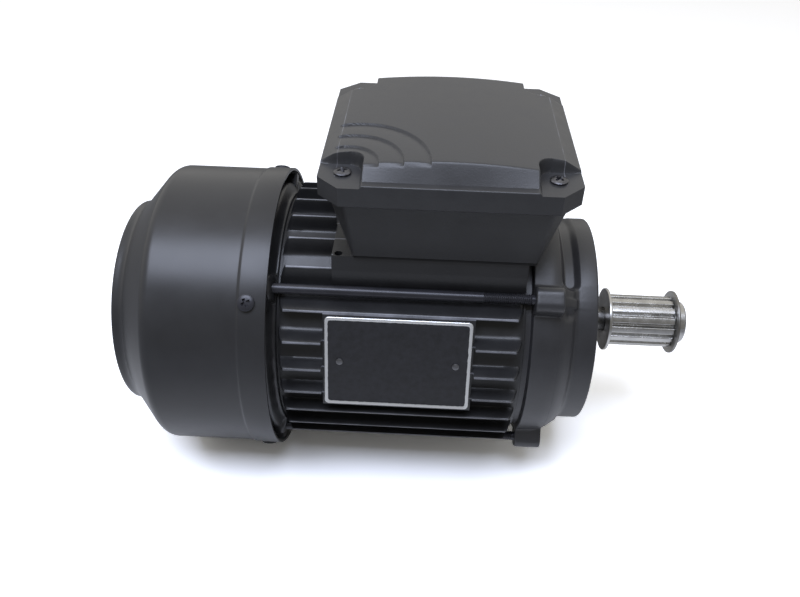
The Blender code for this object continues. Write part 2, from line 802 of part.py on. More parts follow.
def rotor_pieces(rotor, steel, cage):
    put("rotor_core", ring(SHAFT_R + PLAY, ROTOR_R, CORE_REAR, CORE_FRONT, 28), steel, rotor)
    drive = ring(*END_RING_R, CORE_FRONT + GAP, CORE_FRONT + END_RING_LENGTH)
    fan = ring(*END_RING_R, CORE_REAR - END_RING_LENGTH, CORE_REAR - GAP)
    put("rotor_end_ring_drive", drive, cage, rotor)
    put("rotor_end_ring_fan", fan, cage, rotor)


def cooling_fan(rotor, mat):
    disc_rear, disc_front = FAN_DISC_X
    profile = (*FAN_HUB, (disc_rear, FAN_DISC_R), (disc_front, FAN_DISC_R), (disc_front, FAN_HUB[0][1]))
    fan = put("cooling_fan", turned(profile, 24), mat, rotor)
    half = FAN_BLADE_HALF_T
    blade = loft([[(x, -r, z) for x, r in FAN_BLADE] for z in (-half, half)])
    blades = [moved(blade, about_axis(360 / FAN_BLADES * k + 10)) for k in range(FAN_BLADES)]
    change(fan, together(blades[0::2]), "UNION")
    change(fan, together(blades[1::2]), "UNION")


def fan_circlip(rotor, mat):
    put("fan_circlip", ring(*CIRCLIP_R, *CIRCLIP), mat, rotor)


def pulley(rotor, steel, flange_mat):
    outline = []
    pitch = 2 * math.pi / TOOTH_COUNT
    steps = ((0.20, TOOTH_ROOT_R), (0.31, TOOTH_TIP_R), (0.89, TOOTH_TIP_R), (1.00, TOOTH_ROOT_R))
    for k in range(TOOTH_COUNT):
        for share, r in steps:
            angle = pitch * (k + share)
            outline.append((-r * math.cos(angle), r * math.sin(angle)))
    hub = []
    for y, z in outline:
        shrink = PULLEY_HUB_R / math.hypot(y, z)
        hub.append((y * shrink, z * shrink))
    loops = []
    for x, shape in ((PULLEY_REAR, hub), (TEETH_REAR, hub), (TEETH_REAR, outline), (TEETH_FRONT, outline),
                     (TEETH_FRONT, hub), (PULLEY_FRONT, hub)):
        loops.append([(x, y, z) for y, z in shape])
    body = put("pulley", loft(loops), steel, rotor)
    ends = (0.0, PULLEY_FRONT + PULLEY_REAR)
    half = KEY_W / 2 + PLAY
    change(body, rod(SHAFT_END_R + PLAY, *ends, SHAFT_SIDES), "DIFFERENCE")
    change(body, block(*ends, -half, half, 2.0, KEY_TOP + PLAY), "DIFFERENCE")
    bore_r = PULLEY_HUB_R + PLAY
    dish_r = TOOTH_TIP_R + 0.6
    front = TEETH_REAR - PLAY
    inner = ((PULLEY_REAR, bore_r), (PULLEY_REAR, PULLEY_FLANGE_R), (front - 0.4, PULLEY_FLANGE_R),
             (front, dish_r), (front, bore_r))
    put("pulley_flange_inner", turned(inner, 28), flange_mat, rotor)
    rear = TEETH_FRONT + PLAY
    outer = ((rear, bore_r), (rear, dish_r), (rear + 0.4, PULLEY_FLANGE_R),
             (rear + 1.6, PULLEY_FLANGE_R), (rear + 1.6, bore_r))
    put("pulley_flange_outer", turned(outer, 28), flange_mat, rotor)


def chamfered(half_x, half_y, chamfer, z, columns=1):
    # rectangle with cut corners, z a number or a function of x; the long sides are cut into columns
    rise = z if callable(z) else lambda x: z
    reach = half_x - chamfer
    front = [-reach + 2 * reach * k / columns for k in range(columns + 1)]
    points = [(x, -half_y) for x in front]
    points += [(half_x, -half_y + chamfer), (half_x, half_y - chamfer)]
    points += [(x, half_y) for x in reversed(front)]
    points += [(-half_x, half_y - chamfer), (-half_x, -half_y + chamfer)]
    return [(x, y, rise(x)) for x, y in points]


def lid_screw_places():
    sx, sy = LID_SCREW
    return ((-sx, -sy), (sx, -sy), (sx, sy), (-sx, sy))


def terminal_box(seat, mat):
    base = BOX_BASE_Z - SEAT_Z
    top = BOX_TOP_Z - SEAT_Z
    floor = base + BOX_FLOOR
    inner = BOX_BASE_HALF - BOX_WALL
    loops = [
        chamfered(BOX_BASE_HALF, BOX_BASE_HALF, 1.0, base),
        chamfered(BOX_TOP_HALF, BOX_TOP_HALF, BOX_CHAMFER, top),
        chamfered(BOX_TOP_HALF - BOX_WALL, BOX_TOP_HALF - BOX_WALL, BOX_CHAMFER - 1, top),
        chamfered(inner + 0.8, inner + 0.8, 1.0, floor),
    ]
    box = put("terminal_box", loft(loops), mat, seat)
    posts = []
    holes = [moved(rod(CABLE_HOLE_R, base - 1, floor + 1, RING_SIDES), UPRIGHT)]
    for x, y in lid_screw_places():
        posts.append(moved(rod(LID_POST_R, top - LID_POST_H, top), UPRIGHT, (x, y, 0.0)))
        holes.append(moved(rod(LID_HOLE_R, top - LID_POST_H + 1.5, top + 1), UPRIGHT, (x, y, 0.0)))
    for x, y in BOX_SCREWS:
        holes.append(moved(rod(BOX_SCREW_HOLE_R, base - 1, floor + 1), UPRIGHT, (x, y, 0.0)))
    entry_at = (0.0, 0.0, ENTRY_Z)
    change(box, together(posts), "UNION")
    change(box, moved(rod(ENTRY_R, inner, ENTRY_FACE, RING_SIDES), ACROSS, entry_at), "UNION")
    holes.append(moved(rod(ENTRY_HOLE_R, inner - 5, ENTRY_FACE + 1, RING_SIDES), ACROSS, entry_at))
    change(box, together(holes), "DIFFERENCE")


def terminal_lid(seat, mat):
    def level(z):
        return z - SEAT_Z

    def crown(x):
        return level(PANEL_EDGE_Z + PANEL_CROWN * (1 - (x / PANEL_HALF_X) ** 2))

    columns = 8
    rx = LID_HALF_X
    ry = LID_HALF_Y
    loops = [
        chamfered(PANEL_HALF_X, PANEL_HALF_Y, 2.0, crown, columns),
        chamfered(rx - 0.5, ry - 0.5, LID_CHAMFER - 0.2, level(LID_RIM_Z), columns),
        chamfered(rx, ry, LID_CHAMFER, level(LID_RIM_Z - 0.6), columns),
        chamfered(rx, ry, LID_CHAMFER, level(LID_BASE_Z), columns),
        chamfered(LID_LIP_HALF, LID_LIP_HALF, LID_CHAMFER - 1.6, level(LID_BASE_Z), columns),
        chamfered(LID_LIP_HALF, LID_LIP_HALF, LID_CHAMFER - 1.6, level(LID_LIP_Z), columns),
        chamfered(*LID_RECESS[0], 5.0, level(LID_LIP_Z), columns),
        chamfered(*LID_RECESS[1], 5.0, level(LID_RECESS_Z), columns),
    ]
    verts, faces = loft(loops)
    count = len(loops[0])
    back = count - 3
    for cap_at in (0, len(verts) - count):
        # crowned top and flat underside in strips from front to back
        for k in range(columns):
            faces.append([cap_at + k, cap_at + k + 1, cap_at + back - k - 1, cap_at + back - k])
        faces.append([cap_at + columns, cap_at + columns + 1, cap_at + columns + 2, cap_at + columns + 3])
        faces.append([cap_at + back, cap_at + back + 1, cap_at + back + 2, cap_at])
    faces = [face for face in faces if len(face) == 4]
    lid = put("terminal_lid", (verts, faces), mat, seat)

    notches = []
    holes = []
    for x, y in lid_screw_places():
        sx = math.copysign(1.0, x)
        sy = math.copysign(1.0, y)
        in_x = abs(x) - LID_NOTCH
        in_y = abs(y) - LID_NOTCH
        far = LID_HALF_X + LID_NOTCH
        outline = [(far, in_y), (far, far), (in_x, far)]
        for k in range(6):
            angle = math.radians(90 * k / 5)
            outline.append((in_x + LID_NOTCH_ROUND * (1 - math.cos(angle)),
                            in_y + LID_NOTCH_ROUND * (1 - math.sin(angle))))
        loops = [[(sx * px, sy * py, level(z)) for px, py in outline] for z in (LID_RIM_Z - 0.25, 110.0)]
        notches.append(loft(loops))
        holes.append(moved(rod(LID_HOLE_R, 0.0, level(110.0)), UPRIGHT, (x, y, 0.0)))
    change(lid, together(notches), "DIFFERENCE")
    change(lid, together(holes), "DIFFERENCE")


def gaskets(seat, mat):
    low = BOX_TOP_Z - SEAT_Z + PLAY
    high = low + GASKET_T
    corners = ((GASKET_OUTER, low), (GASKET_OUTER, high), (GASKET_INNER, high), (GASKET_INNER, low))
    put("lid_gasket", loft([chamfered(*size, z) for size, z in corners], ring=True), mat, seat)
    outer, inner = SEAT_GASKET_HALF
    low, high = SEAT_GASKET_Z
    corners = ((outer, low), (outer, high), (inner, high), (inner, low))
    put("box_gasket", loft([chamfered(half, half, 1.0, z) for half, z in corners], ring=True), mat, seat)


def box_fixings(seat, mat):
    lid_screw = screw_shape(*LID_SCREW_SIZE)
    for n, (x, y) in enumerate(lid_screw_places(), 1):
        put(f"lid_screw_{n}", lid_screw, mat, seat, (x, y, LID_RIM_Z - SEAT_Z - 0.1), UPRIGHT)
    box_screw = screw_shape(*BOX_SCREW_SIZE)
    top = BOX_BASE_Z - SEAT_Z + BOX_FLOOR + GAP / 2
    for n, (x, y) in enumerate(BOX_SCREWS, 1):
        put(f"box_screw_{n}", box_screw, mat, seat, (x, y, top), UPRIGHT)


def terminal_link():
    # flat strap with round ends, one eye for each stud
    steps = 12
    outline = []
    for k in range(steps):
        angle = 2 * math.pi * (k + 0.5) / steps
        side = math.copysign(STUD_Y[1], math.sin(angle))
        outline.append((NUT_R * math.cos(angle), side + NUT_R * math.sin(angle)))
    return loft([[(px, py, z) for px, py in outline] for z in LINK_LEVELS])


def terminals(seat, board_mat, brass, steel):
    base = BOX_BASE_Z - SEAT_Z + BOX_FLOOR + GAP
    top = base + BOARD_H
    half_x, half_y = BOARD_HALF
    shape = block(-half_x, half_x, -half_y, half_y, 0.0, BOARD_H)
    board = put("terminal_board", shape, board_mat, seat, (0.0, BOARD_Y, base))
    low, high = STUD_LENGTH
    places = [(x, y) for y in STUD_Y for x in STUD_X]
    hole = rod(STUD_R + PLAY, BOARD_H + low - 0.5, BOARD_H + 1)
    change(board, together([moved(hole, UPRIGHT, (x, y, 0.0)) for x, y in places]), "DIFFERENCE")
    nut_low, nut_high = NUT_ENDS
    stud = turned(((low, 0), (low, STUD_R), (nut_low, STUD_R), (nut_low, NUT_R), (nut_high, NUT_R),
                   (nut_high, STUD_R), (high, STUD_R), (high, 0)), 6)
    for n, (x, y) in enumerate(places, 1):
        put(f"terminal_stud_{n}", stud, brass, seat, (x, BOARD_Y + y, top), UPRIGHT)
    eye = rod(LINK_EYE_R, -1.0, LINK_LEVELS[1] + 1)
    for n, x in enumerate(STUD_X, 1):
        link = put(f"terminal_link_{n}", terminal_link(), brass, seat, (x, BOARD_Y, top))
        change(link, together([moved(eye, UPRIGHT, (0.0, y, 0.0)) for y in STUD_Y]), "DIFFERENCE")
    put("earth_screw", screw_shape(*EARTH_SCREW), steel, seat, (*EARTH_SCREW_AT, base + 2.3), UPRIGHT)


def entry_plug(seat, mat):
    face = ENTRY_FACE + GAP
    corners = [math.radians(60 * k) for k in range(6)]
    hexagon = [(PLUG_HEX_R * math.cos(a), PLUG_HEX_R * math.sin(a)) for a in corners]
    shape = prism(hexagon, face, face + PLUG_HEX_H)
    plug = put("cable_entry_plug", shape, mat, seat, (0.0, 0.0, ENTRY_Z), ACROSS)
    change(plug, rod(PLUG_R, face - PLUG_DEPTH, face + 1, RING_SIDES), "UNION")


def name_plate(axis, plate_mat, rivet_mat):
    half_l = PLATE_LENGTH / 2
    half_h = PLATE_HEIGHT / 2
    corner = PLATE_CORNER_R
    outline = []
    for cx, cy, start in ((1, 1, 0), (-1, 1, 90), (-1, -1, 180), (1, -1, 270)):
        for k in range(3):
            angle = math.radians(start + 45 * k)
            outline.append((cx * (half_l - corner) + corner * math.cos(angle),
                            cy * (half_h - corner) + corner * math.sin(angle)))
    low = PLATE_PAD_R + 0.1
    loops = [[(x, -r, z) for x, z in outline] for r in (low, low + PLATE_T)]
    plate = put("name_plate", loft(loops), plate_mat, axis, (PLATE_X, 0.0, 0.0), about_axis(PLATE_ANGLE))
    holes = []
    for side in (-1, 1):
        hole = rod(RIVET_HOLE_R, PAD_ROOT_R, low + PLATE_T + 1)
        holes.append(moved(hole, outward(0.0), (side * RIVET_OFFSET, 0.0, 0.0)))
    change(plate, together(holes), "DIFFERENCE")
    rivet = screw_shape(*RIVET)
    for n, side in enumerate((-1, 1), 1):
        at = radial(low + PLATE_T + 0.1, PLATE_ANGLE, PLATE_X + side * RIVET_OFFSET)
        put(f"name_plate_rivet_{n}", rivet, rivet_mat, axis, at, outward(PLATE_ANGLE))


def main():
    clear_scene()
    black_paint = material("black_paint_on_aluminium", (0.018, 0.018, 0.022), 0.0, 0.42)
    sheet_paint = material("black_paint_on_sheet_steel", (0.016, 0.016, 0.018), 0.0, 0.36)
    box_plastic = material("grey_black_plastic", (0.035, 0.035, 0.038), 0.0, 0.6)
    zinc_steel = material("zinc_plated_steel", (0.35, 0.35, 0.36), 1.0, 0.4)
    black_steel = material("blackened_steel", (0.03, 0.03, 0.032), 1.0, 0.45)
    bare_steel = material("machined_steel", (0.55, 0.54, 0.53), 1.0, 0.3)
    lamination = material("lamination_steel", (0.2, 0.2, 0.21), 1.0, 0.5)
    cast_alloy = material("cast_aluminium", (0.6, 0.6, 0.6), 1.0, 0.45)
    copper = material("varnished_copper", (0.4, 0.13, 0.04), 1.0, 0.4)
    brass = material("brass", (0.62, 0.45, 0.16), 1.0, 0.35)
    rubber = material("black_rubber", (0.02, 0.02, 0.02), 0.0, 0.8)
    fan_plastic = material("fan_plastic", (0.02, 0.02, 0.02), 0.0, 0.55)
    board_plastic = material("terminal_board_plastic", (0.12, 0.07, 0.03), 0.0, 0.5)
    plate_metal = material("plate_black_and_aluminium", (0.05, 0.05, 0.055), 0.3, 0.4)

    axis = empty("motor_axis", (FACE_X, 0.0, AXIS_Z))
    rotor = empty("rotor_axis", (0.0, 0.0, 0.0), axis)
    seat = empty("box_seat", (BOX_X, 0.0, SEAT_Z), axis)

    stator_frame(axis, black_paint)
    drive_end_shield(axis, black_paint)
    fan_end_shield(axis, black_paint)
    tie_rods(axis, black_steel)
    fan_cowl(axis, sheet_paint)
    cowl_screws(axis, black_steel)
    stator_core(axis, lamination)
    end_winding("winding_drive_end", CORE_FRONT + GAP, CORE_FRONT + WINDING_LENGTH, axis, copper)
    end_winding("winding_fan_end", CORE_REAR - WINDING_LENGTH, CORE_REAR - GAP, axis, copper)
    bearing("drive", BEARING_FRONT_X, axis, rotor, bare_steel)
    bearing("fan", BEARING_REAR_X, axis, rotor, bare_steel)
    wave_spring(axis, bare_steel)
    shaft_seal(axis, rubber)
    shaft(rotor, bare_steel)
    shaft_key(rotor, bare_steel)
    rotor_pieces(rotor, lamination, cast_alloy)
    cooling_fan(rotor, fan_plastic)
    fan_circlip(rotor, black_steel)
    pulley(rotor, bare_steel, zinc_steel)
    terminal_box(seat, box_plastic)
    terminal_lid(seat, box_plastic)
    gaskets(seat, rubber)
    box_fixings(seat, black_steel)
    terminals(seat, board_plastic, brass, zinc_steel)
    entry_plug(seat, box_plastic)
    name_plate(axis, plate_metal, cast_alloy)


main()
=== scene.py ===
# Looks of a small flange motor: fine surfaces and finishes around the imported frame.
# Shapes are worked out in millimetres, x along the shaft from the flange face, y and z from the shaft axis.
import json
import math

import bmesh
import bpy
import numpy as np
from mathutils import Matrix


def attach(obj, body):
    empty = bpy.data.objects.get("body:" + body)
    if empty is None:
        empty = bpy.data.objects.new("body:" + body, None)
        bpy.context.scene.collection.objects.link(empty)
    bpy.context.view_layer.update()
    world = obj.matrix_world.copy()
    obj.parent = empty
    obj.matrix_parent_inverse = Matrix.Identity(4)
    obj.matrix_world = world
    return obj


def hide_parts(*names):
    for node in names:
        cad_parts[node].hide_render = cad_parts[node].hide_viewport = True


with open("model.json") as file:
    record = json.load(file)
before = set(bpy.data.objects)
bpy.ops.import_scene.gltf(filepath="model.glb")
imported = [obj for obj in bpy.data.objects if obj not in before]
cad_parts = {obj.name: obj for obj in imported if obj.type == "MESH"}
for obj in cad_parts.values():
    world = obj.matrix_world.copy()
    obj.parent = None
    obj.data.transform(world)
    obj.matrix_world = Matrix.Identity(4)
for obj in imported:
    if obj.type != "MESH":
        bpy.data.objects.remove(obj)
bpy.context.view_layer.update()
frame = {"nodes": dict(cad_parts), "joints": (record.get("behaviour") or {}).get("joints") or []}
axisPoint = np.array(frame["joints"][0]["pos_m"])  # where the shaft axis meets the flange face
cornerAngles = (45.0, 135.0, 225.0, 315.0)  # the four corners with tie rods, from the plate side up
perMetre = 1000.0  # millimetres in a metre
weld = dict(points=2e-6, edges=1e-7)  # metres: points closer than this become one, shorter edges go
print("frame:", len(frame["nodes"]), "nodes")


# Small tools


def linear(code):
    # sRGB hex to linear red, green, blue
    parts = np.array([int(code[i:i + 2], 16) for i in (1, 3, 5)]) / 255
    parts = np.where(parts <= 0.04045, parts / 12.92, ((parts + 0.055) / 1.055) ** 2.4)
    return (*parts.tolist(), 1.0)


def addNode(tree, kind, inputs, **settings):
    # one node; inputs holds plain values or outputs of other nodes
    made = tree.nodes.new("ShaderNode" + kind)
    for key, value in settings.items():
        setattr(made, key, value)
    for key, value in inputs.items():
        if isinstance(value, bpy.types.NodeSocket):
            tree.links.new(value, made.inputs[key])
        else:
            made.inputs[key].default_value = value
    return made


def quads(rows, columns, wrapRows=False, wrapColumns=False):
    # four-sided faces over a grid of points counted row by row
    i = np.arange(rows if wrapRows else rows - 1)[:, None]
    j = np.arange(columns if wrapColumns else columns - 1)[None, :]
    a, b = i * columns, (i + 1) % rows * columns
    k = (j + 1) % columns
    return np.stack(np.broadcast_arrays(a + j, b + j, b + k, a + k), -1).reshape(-1, 4)


def tubeFaces(points, closed=True):
    # faces over a grid of points whose columns go all the way round, and whose rows do too if closed
    return quads(*points.shape[:2], closed, True)


def smooth(low, high, value):
    # 0 below low, 1 above high, 3t^2 - 2t^3 between
    t = np.clip((value - low) / (high - low), 0, 1)
    return t * t * (3 - 2 * t)


def softMax(a, b, width):
    # the larger of two heights, with a fillet of about this width that is lowered a little
    return 0.5 * (a + b + np.sqrt((a - b) ** 2 + width ** 2)) - 0.12 * width


def edgeDrop(depth, reach, inward):
    # how far a rounded edge lies below its face: a quarter ellipse that ends at reach in from the edge
    return depth * (1 - np.sqrt(1 - np.clip(1 - inward / reach, 0, 1) ** 2))


def rounded(corners, radius, steps=4, closed=False):
    # each corner becomes a short curve: start (1-s)^2, corner 2s(1-s), end s^2; it takes under half of a side
    corners = np.asarray(corners, float)
    before = np.roll(corners, 1, 0) - corners
    after = np.roll(corners, -1, 0) - corners
    lengths = np.stack([np.linalg.norm(before, axis=1), np.linalg.norm(after, axis=1)])
    reach = np.minimum(np.broadcast_to(radius, len(corners)), 0.45 * lengths.min(0))
    start = corners + before * (reach / lengths[0])[:, None]
    end = corners + after * (reach / lengths[1])[:, None]
    s = np.linspace(0, 1, steps)[None, :, None]
    curve = (1 - s) ** 2 * start[:, None] + 2 * s * (1 - s) * corners[:, None] + s ** 2 * end[:, None]
    if closed:
        return curve.reshape(-1, corners.shape[1])
    return np.concatenate([corners[:1], curve[1:-1].reshape(-1, corners.shape[1]), corners[-1:]])


def ringPoints(x, r, angle):
    # radius r at each x and angle about the axis: y = -r cos a, z = r sin a
    return np.stack([x + 0 * angle, -r * np.cos(angle), r * np.sin(angle)], -1)


def turned(profile, count):
    # a circle at each x and radius of the profile
    x, r = np.asarray(profile, float).T[:, :, None]
    return ringPoints(x, r, 2 * np.pi * np.arange(count) / count)


def turnedPart(profile, count, closed=True):
    points = turned(profile, count)
    return points, tubeFaces(points, closed)


def rod(radius, x0, x1, count):
    return turnedPart([(x0, 0), (x0, radius), (x1, radius), (x1, 0)], count, False)


def atLevel(flat, height):
    # flat outline lifted to one height
    return np.column_stack([flat, np.full(len(flat), height)])


def loftFaces(loops, openStart=False):
    # each loop joined to the next, with flat ends
    levels, count = loops.shape[:2]
    ends = [list(range(start, start + count)) for start in (0, (levels - 1) * count)]
    return tubeFaces(loops, False).tolist() + (ends[1:] if openStart else ends)


def borderOf(rows, columns):
    # numbers of the points round the border of a grid, once each
    index = np.arange(rows * columns).reshape(rows, columns)
    return np.concatenate([index[0, :-1], index[:-1, -1], index[-1, :0:-1], index[:0:-1, 0]])


def placed(points, origin, across, along, out):
    # local (u, v, w) to origin + u across + v along + w out
    axes = np.array([across, along, out], float)
    return np.asarray(points) @ axes + np.asarray(origin, float)


def stood(part, origin, across, along, out):
    # a turned part with its own axis along out
    points, faces = part
    return placed(points[..., [1, 2, 0]], origin, across, along, out), faces


def outward(degrees):
    # direction square to the shaft, from the plate side up
    a = math.radians(degrees)
    return np.array([0.0, -math.cos(a), math.sin(a)])


def axesAt(out):
    # across is the shaft's direction, along is square to it and to out
    return (1.0, 0.0, 0.0), np.cross(out, (1.0, 0.0, 0.0)), out


def addMesh(name, parts, wearAndHighlight=None):
    # parts are points in mm with their faces; the mark of wear and painted highlight is one number for each
    # point
    points = [np.asarray(p, float).reshape(-1, 3) for p, faces in parts]
    starts = np.cumsum([0] + [len(p) for p in points])
    faces = []
    for start, (p, more) in zip(starts, parts):
        if isinstance(more, np.ndarray):
            faces += (more + start).tolist()
        else:
            faces += [[start + k for k in face] for face in more]
    mesh = bpy.data.meshes.new(name)
    mesh.from_pydata((np.concatenate(points) / perMetre + axisPoint).tolist(), [], faces)
    if wearAndHighlight is not None:
        mesh.attributes.new("wearAndHighlight", "FLOAT", "POINT").data.foreach_set("value", np.ravel(wearAndHighlight))
    bm = bmesh.new()
    bm.from_mesh(mesh)
    bmesh.ops.remove_doubles(bm, verts=bm.verts, dist=weld["points"])
    bmesh.ops.dissolve_degenerate(bm, edges=bm.edges, dist=weld["edges"])
    bmesh.ops.recalc_face_normals(bm, faces=bm.faces)
    bm.to_mesh(mesh)
    bm.free()
    thing = bpy.data.objects.new(name, mesh)
    bpy.context.scene.collection.objects.link(thing)
    return thing


def shadeByAngle(thing, degrees):
    thing.data.polygons.foreach_set("use_smooth", np.ones(len(thing.data.polygons), bool))
    thing.data.set_sharp_from_angle(angle=math.radians(degrees))


def modify(thing, kind, **settings):
    step = thing.modifiers.new(kind.lower(), kind)
    for key, value in settings.items():
        setattr(step, key, value)


def carve(thing, parts, operation="DIFFERENCE"):
    # exact cut or join, made into the mesh at once
    tool = addMesh("tool", parts)
    modify(thing, "BOOLEAN", operation=operation, solver="EXACT", object=tool)
    made = bpy.data.meshes.new_from_object(thing.evaluated_get(bpy.context.evaluated_depsgraph_get()))
    thing.modifiers.clear()
    thing.data = made
    bpy.data.objects.remove(tool)


def settle(thing, nodes, finish, body="stator", sharp=32.0):
    # finish, body and CAD nodes of a piece that is in place
    shadeByAngle(thing, sharp)
    thing.data.materials.clear()
    thing.data.materials.append(finish)
    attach(thing, body)
    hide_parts(*nodes)
    print("piece:", thing.name, len(thing.data.polygons), "faces")


# Finishes

# levels of detail in cloud and grain, roughness of the cloud, and the range of it that is used
noise = dict(cloud=5.0, grain=2.0, cloudRoughness=0.62, cloudRange=(0.3, 0.7))


def mixed(tree, share, first, second):
    # one colour going over into another
    return addNode(tree, "Mix", {0: share, 6: first, 7: second}, data_type="RGBA").outputs[2]


def ranged(tree, value, low, high, toLow=0.0, toHigh=1.0, kind="LINEAR"):
    # toLow at low, toHigh at high, and no further
    return addNode(tree, "MapRange", {"Value": value, "From Min": low, "From Max": high, "To Min": toLow,
                                      "To Max": toHigh}, interpolation_type=kind).outputs[0]


def noiseAt(tree, place, size, detail, roughness=0.5):
    # noise with features of this size in mm: one number, or one along each of x, y and z
    scale = (perMetre / np.broadcast_to(size, 3)).tolist()
    at = addNode(tree, "Mapping", {"Vector": place, "Scale": scale}).outputs[0]
    return addNode(tree, "TexNoise", {"Vector": at, "Scale": 1.0, "Detail": detail,
                                      "Roughness": roughness}).outputs["Fac"]


def makeFinish(name, look):
    # all in mm: cloud is the size of slow changes in colour and gloss, grain and depth are of a fine relief
    material = bpy.data.materials.new(name)
    material.use_nodes = True
    tree = material.node_tree
    shader = tree.nodes["Principled BSDF"]
    place = addNode(tree, "TexCoord", {}).outputs["Object"]
    cloud = noiseAt(tree, place, look["cloud"], noise["cloud"], noise["cloudRoughness"])
    grain = noiseAt(tree, place, look["grain"], noise["grain"])
    dark, pale = (linear(code) for code in look["colours"])
    colour = mixed(tree, ranged(tree, cloud, *noise["cloudRange"]), dark, pale)
    gloss = ranged(tree, cloud, *noise["cloudRange"], *look["roughness"])
    if "wornAndLit" in look:
        # the piece's own attribute of wear and painted highlight, broken up by the cloud: real wear on some
        # pieces, a painted highlight on others
        wearAndHighlight = addNode(tree, "Attribute", {}, attribute_name="wearAndHighlight").outputs["Fac"]
        broken = addNode(tree, "Math", {0: wearAndHighlight, 1: cloud}, operation="ADD").outputs[0]
        edge = ranged(tree, broken, look["wornAndLitFrom"], look["wornAndLitFrom"] + look["wornAndLitSoft"])
        colour = mixed(tree, edge, colour, linear(look["wornAndLit"]))
        gloss = addNode(tree, "Mix", {0: edge, 2: gloss, 3: look["wornAndLitRoughness"]}).outputs[0]
    if "wornMetallic" in look:
        metal = addNode(tree, "Math", {0: edge, 1: look["wornMetallic"]}, operation="MULTIPLY")
        tree.links.new(metal.outputs[0], shader.inputs["Metallic"])
    else:
        shader.inputs["Metallic"].default_value = look.get("metallic", 0.0)
    tree.links.new(colour, shader.inputs["Base Color"])
    tree.links.new(gloss, shader.inputs["Roughness"])
    bump = addNode(tree, "Bump", {"Height": grain, "Distance": look["depth"] / perMetre, "Strength": 1.0})
    tree.links.new(bump.outputs[0], shader.inputs["Normal"])
    shader.inputs["Specular IOR Level"].default_value = look.get("specular", 0.5)
    return material


# satin enamel sprayed over a die casting: deep black with a soft bluish sheen, slightly uneven skin; its pale
# colour on the fin tips is partly rubbed wear, partly a painted highlight
castEnamel = makeFinish("satin black enamel on die-cast aluminium", dict(
    colours=("#1e1e1f", "#252526"), cloud=14.0, roughness=(0.34, 0.42), grain=0.9, depth=0.03,
    specular=0.5, wornAndLit="#77787e", wornAndLitFrom=1.15, wornAndLitSoft=0.5, wornAndLitRoughness=0.35))
# the same enamel in a paler copy for the drive-end shield: painted light, so that the shield looks better lit
# than the frame
litEnamelCopy = makeFinish("paler satin black enamel painted as if better lit", dict(
    colours=("#28282a", "#2f2f31"), cloud=14.0, roughness=(0.36, 0.45), grain=0.9, depth=0.03,
    specular=0.62))
# satin lacquer over spun sheet steel: long fine lines run round the cowl under the lacquer
sheetLacquer = makeFinish("satin black lacquer on spun sheet steel", dict(
    colours=("#2a2a2b", "#2f2f30"), cloud=22.0, roughness=(0.3, 0.37), grain=(0.35, 60.0, 60.0), depth=0.006,
    specular=0.45))
# glass-filled polyamide moulded against a spark-eroded tool: dull dark grey with a fine even grain
# its pale colour marks a real scuff on the lid, and also a painted highlight along the lid's creases
mouldedPolyamide = makeFinish("moulded dark grey polyamide", dict(
    colours=("#2f2f30", "#353536"), cloud=9.0, roughness=(0.31, 0.39), grain=0.55, depth=0.03,
    specular=0.42, wornAndLit="#747478", wornAndLitFrom=1.3, wornAndLitSoft=0.35, wornAndLitRoughness=0.5))
# the same material against a blasted tool: duller, for the box under the lid
blastedPolyamide = makeFinish("matt dark grey polyamide", dict(
    colours=("#2f2f30", "#353536"), cloud=9.0, roughness=(0.45, 0.55), grain=0.55, depth=0.03,
    specular=0.32))
# turned and hobbed free-cutting steel: bright, with fine tool lines round the axis
turnedSteel = makeFinish("turned bright steel", dict(
    colours=("#a9a8a6", "#c4c3c0"), cloud=5.0, roughness=(0.2, 0.3), grain=(0.3, 40.0, 40.0), depth=0.0012,
    metallic=1.0))
# zinc-plated pressed steel: greyer and duller than the teeth
zincSteel = makeFinish("zinc-plated pressed steel", dict(
    colours=("#75736f", "#989692"), cloud=4.0, roughness=(0.3, 0.45), grain=0.5, depth=0.008,
    metallic=1.0))
# the same plating in a darker copy for the inner flange's face towards the motor: painted shade standing in
# for the dark flange it mirrors; its pale rim is a painted highlight
shadedZincLitRim = makeFinish("zinc-plated steel painted darker as in shade", dict(
    colours=("#353331", "#4f4c49"), cloud=4.0, roughness=(0.32, 0.46), grain=0.5, depth=0.008,
    metallic=1.0, wornAndLit="#b9b8b5", wornAndLitFrom=0.9, wornAndLitSoft=0.2, wornAndLitRoughness=0.3))
# screw heads with the blackening rubbed off: mid grey metal
rubbedSteel = makeFinish("blackened steel rubbed bare", dict(
    colours=("#4c4c50", "#77777b"), cloud=1.5, roughness=(0.3, 0.45), grain=0.3, depth=0.01, metallic=1.0))
# mill-galvanised sheet, left bare inside the cowl: even mid grey
bareSheet = makeFinish("mill-galvanised sheet steel", dict(
    colours=("#6f706f", "#8a8b8a"), cloud=6.0, roughness=(0.45, 0.6), grain=0.6, depth=0.01, metallic=0.3))
# black oxide on machined steel: dark with a silky sheen
blackOxide = makeFinish("black oxide on machined steel", dict(
    colours=("#2c2c30", "#36363b"), cloud=8.0, roughness=(0.3, 0.37), grain=0.4, depth=0.003,
    metallic=0.35))
# etched aluminium plate with a black printed field; the bare border is rubbed and slightly ragged
etchedPlate = makeFinish("black-printed etched aluminium", dict(
    colours=("#141416", "#212125"), cloud=2.2, roughness=(0.36, 0.52), grain=(2.5, 0.25, 0.25), depth=0.008,
    wornAndLit="#d4d4d2", wornAndLitFrom=0.92, wornAndLitSoft=0.16, wornAndLitRoughness=0.36, wornMetallic=0.75))
# soft aluminium rivet, formed cold: dull mid grey
rivetAluminium = makeFinish("cold-formed aluminium", dict(
    colours=("#606062", "#7c7c7e"), cloud=1.2, roughness=(0.3, 0.5), grain=0.3, depth=0.01, metallic=1.0))
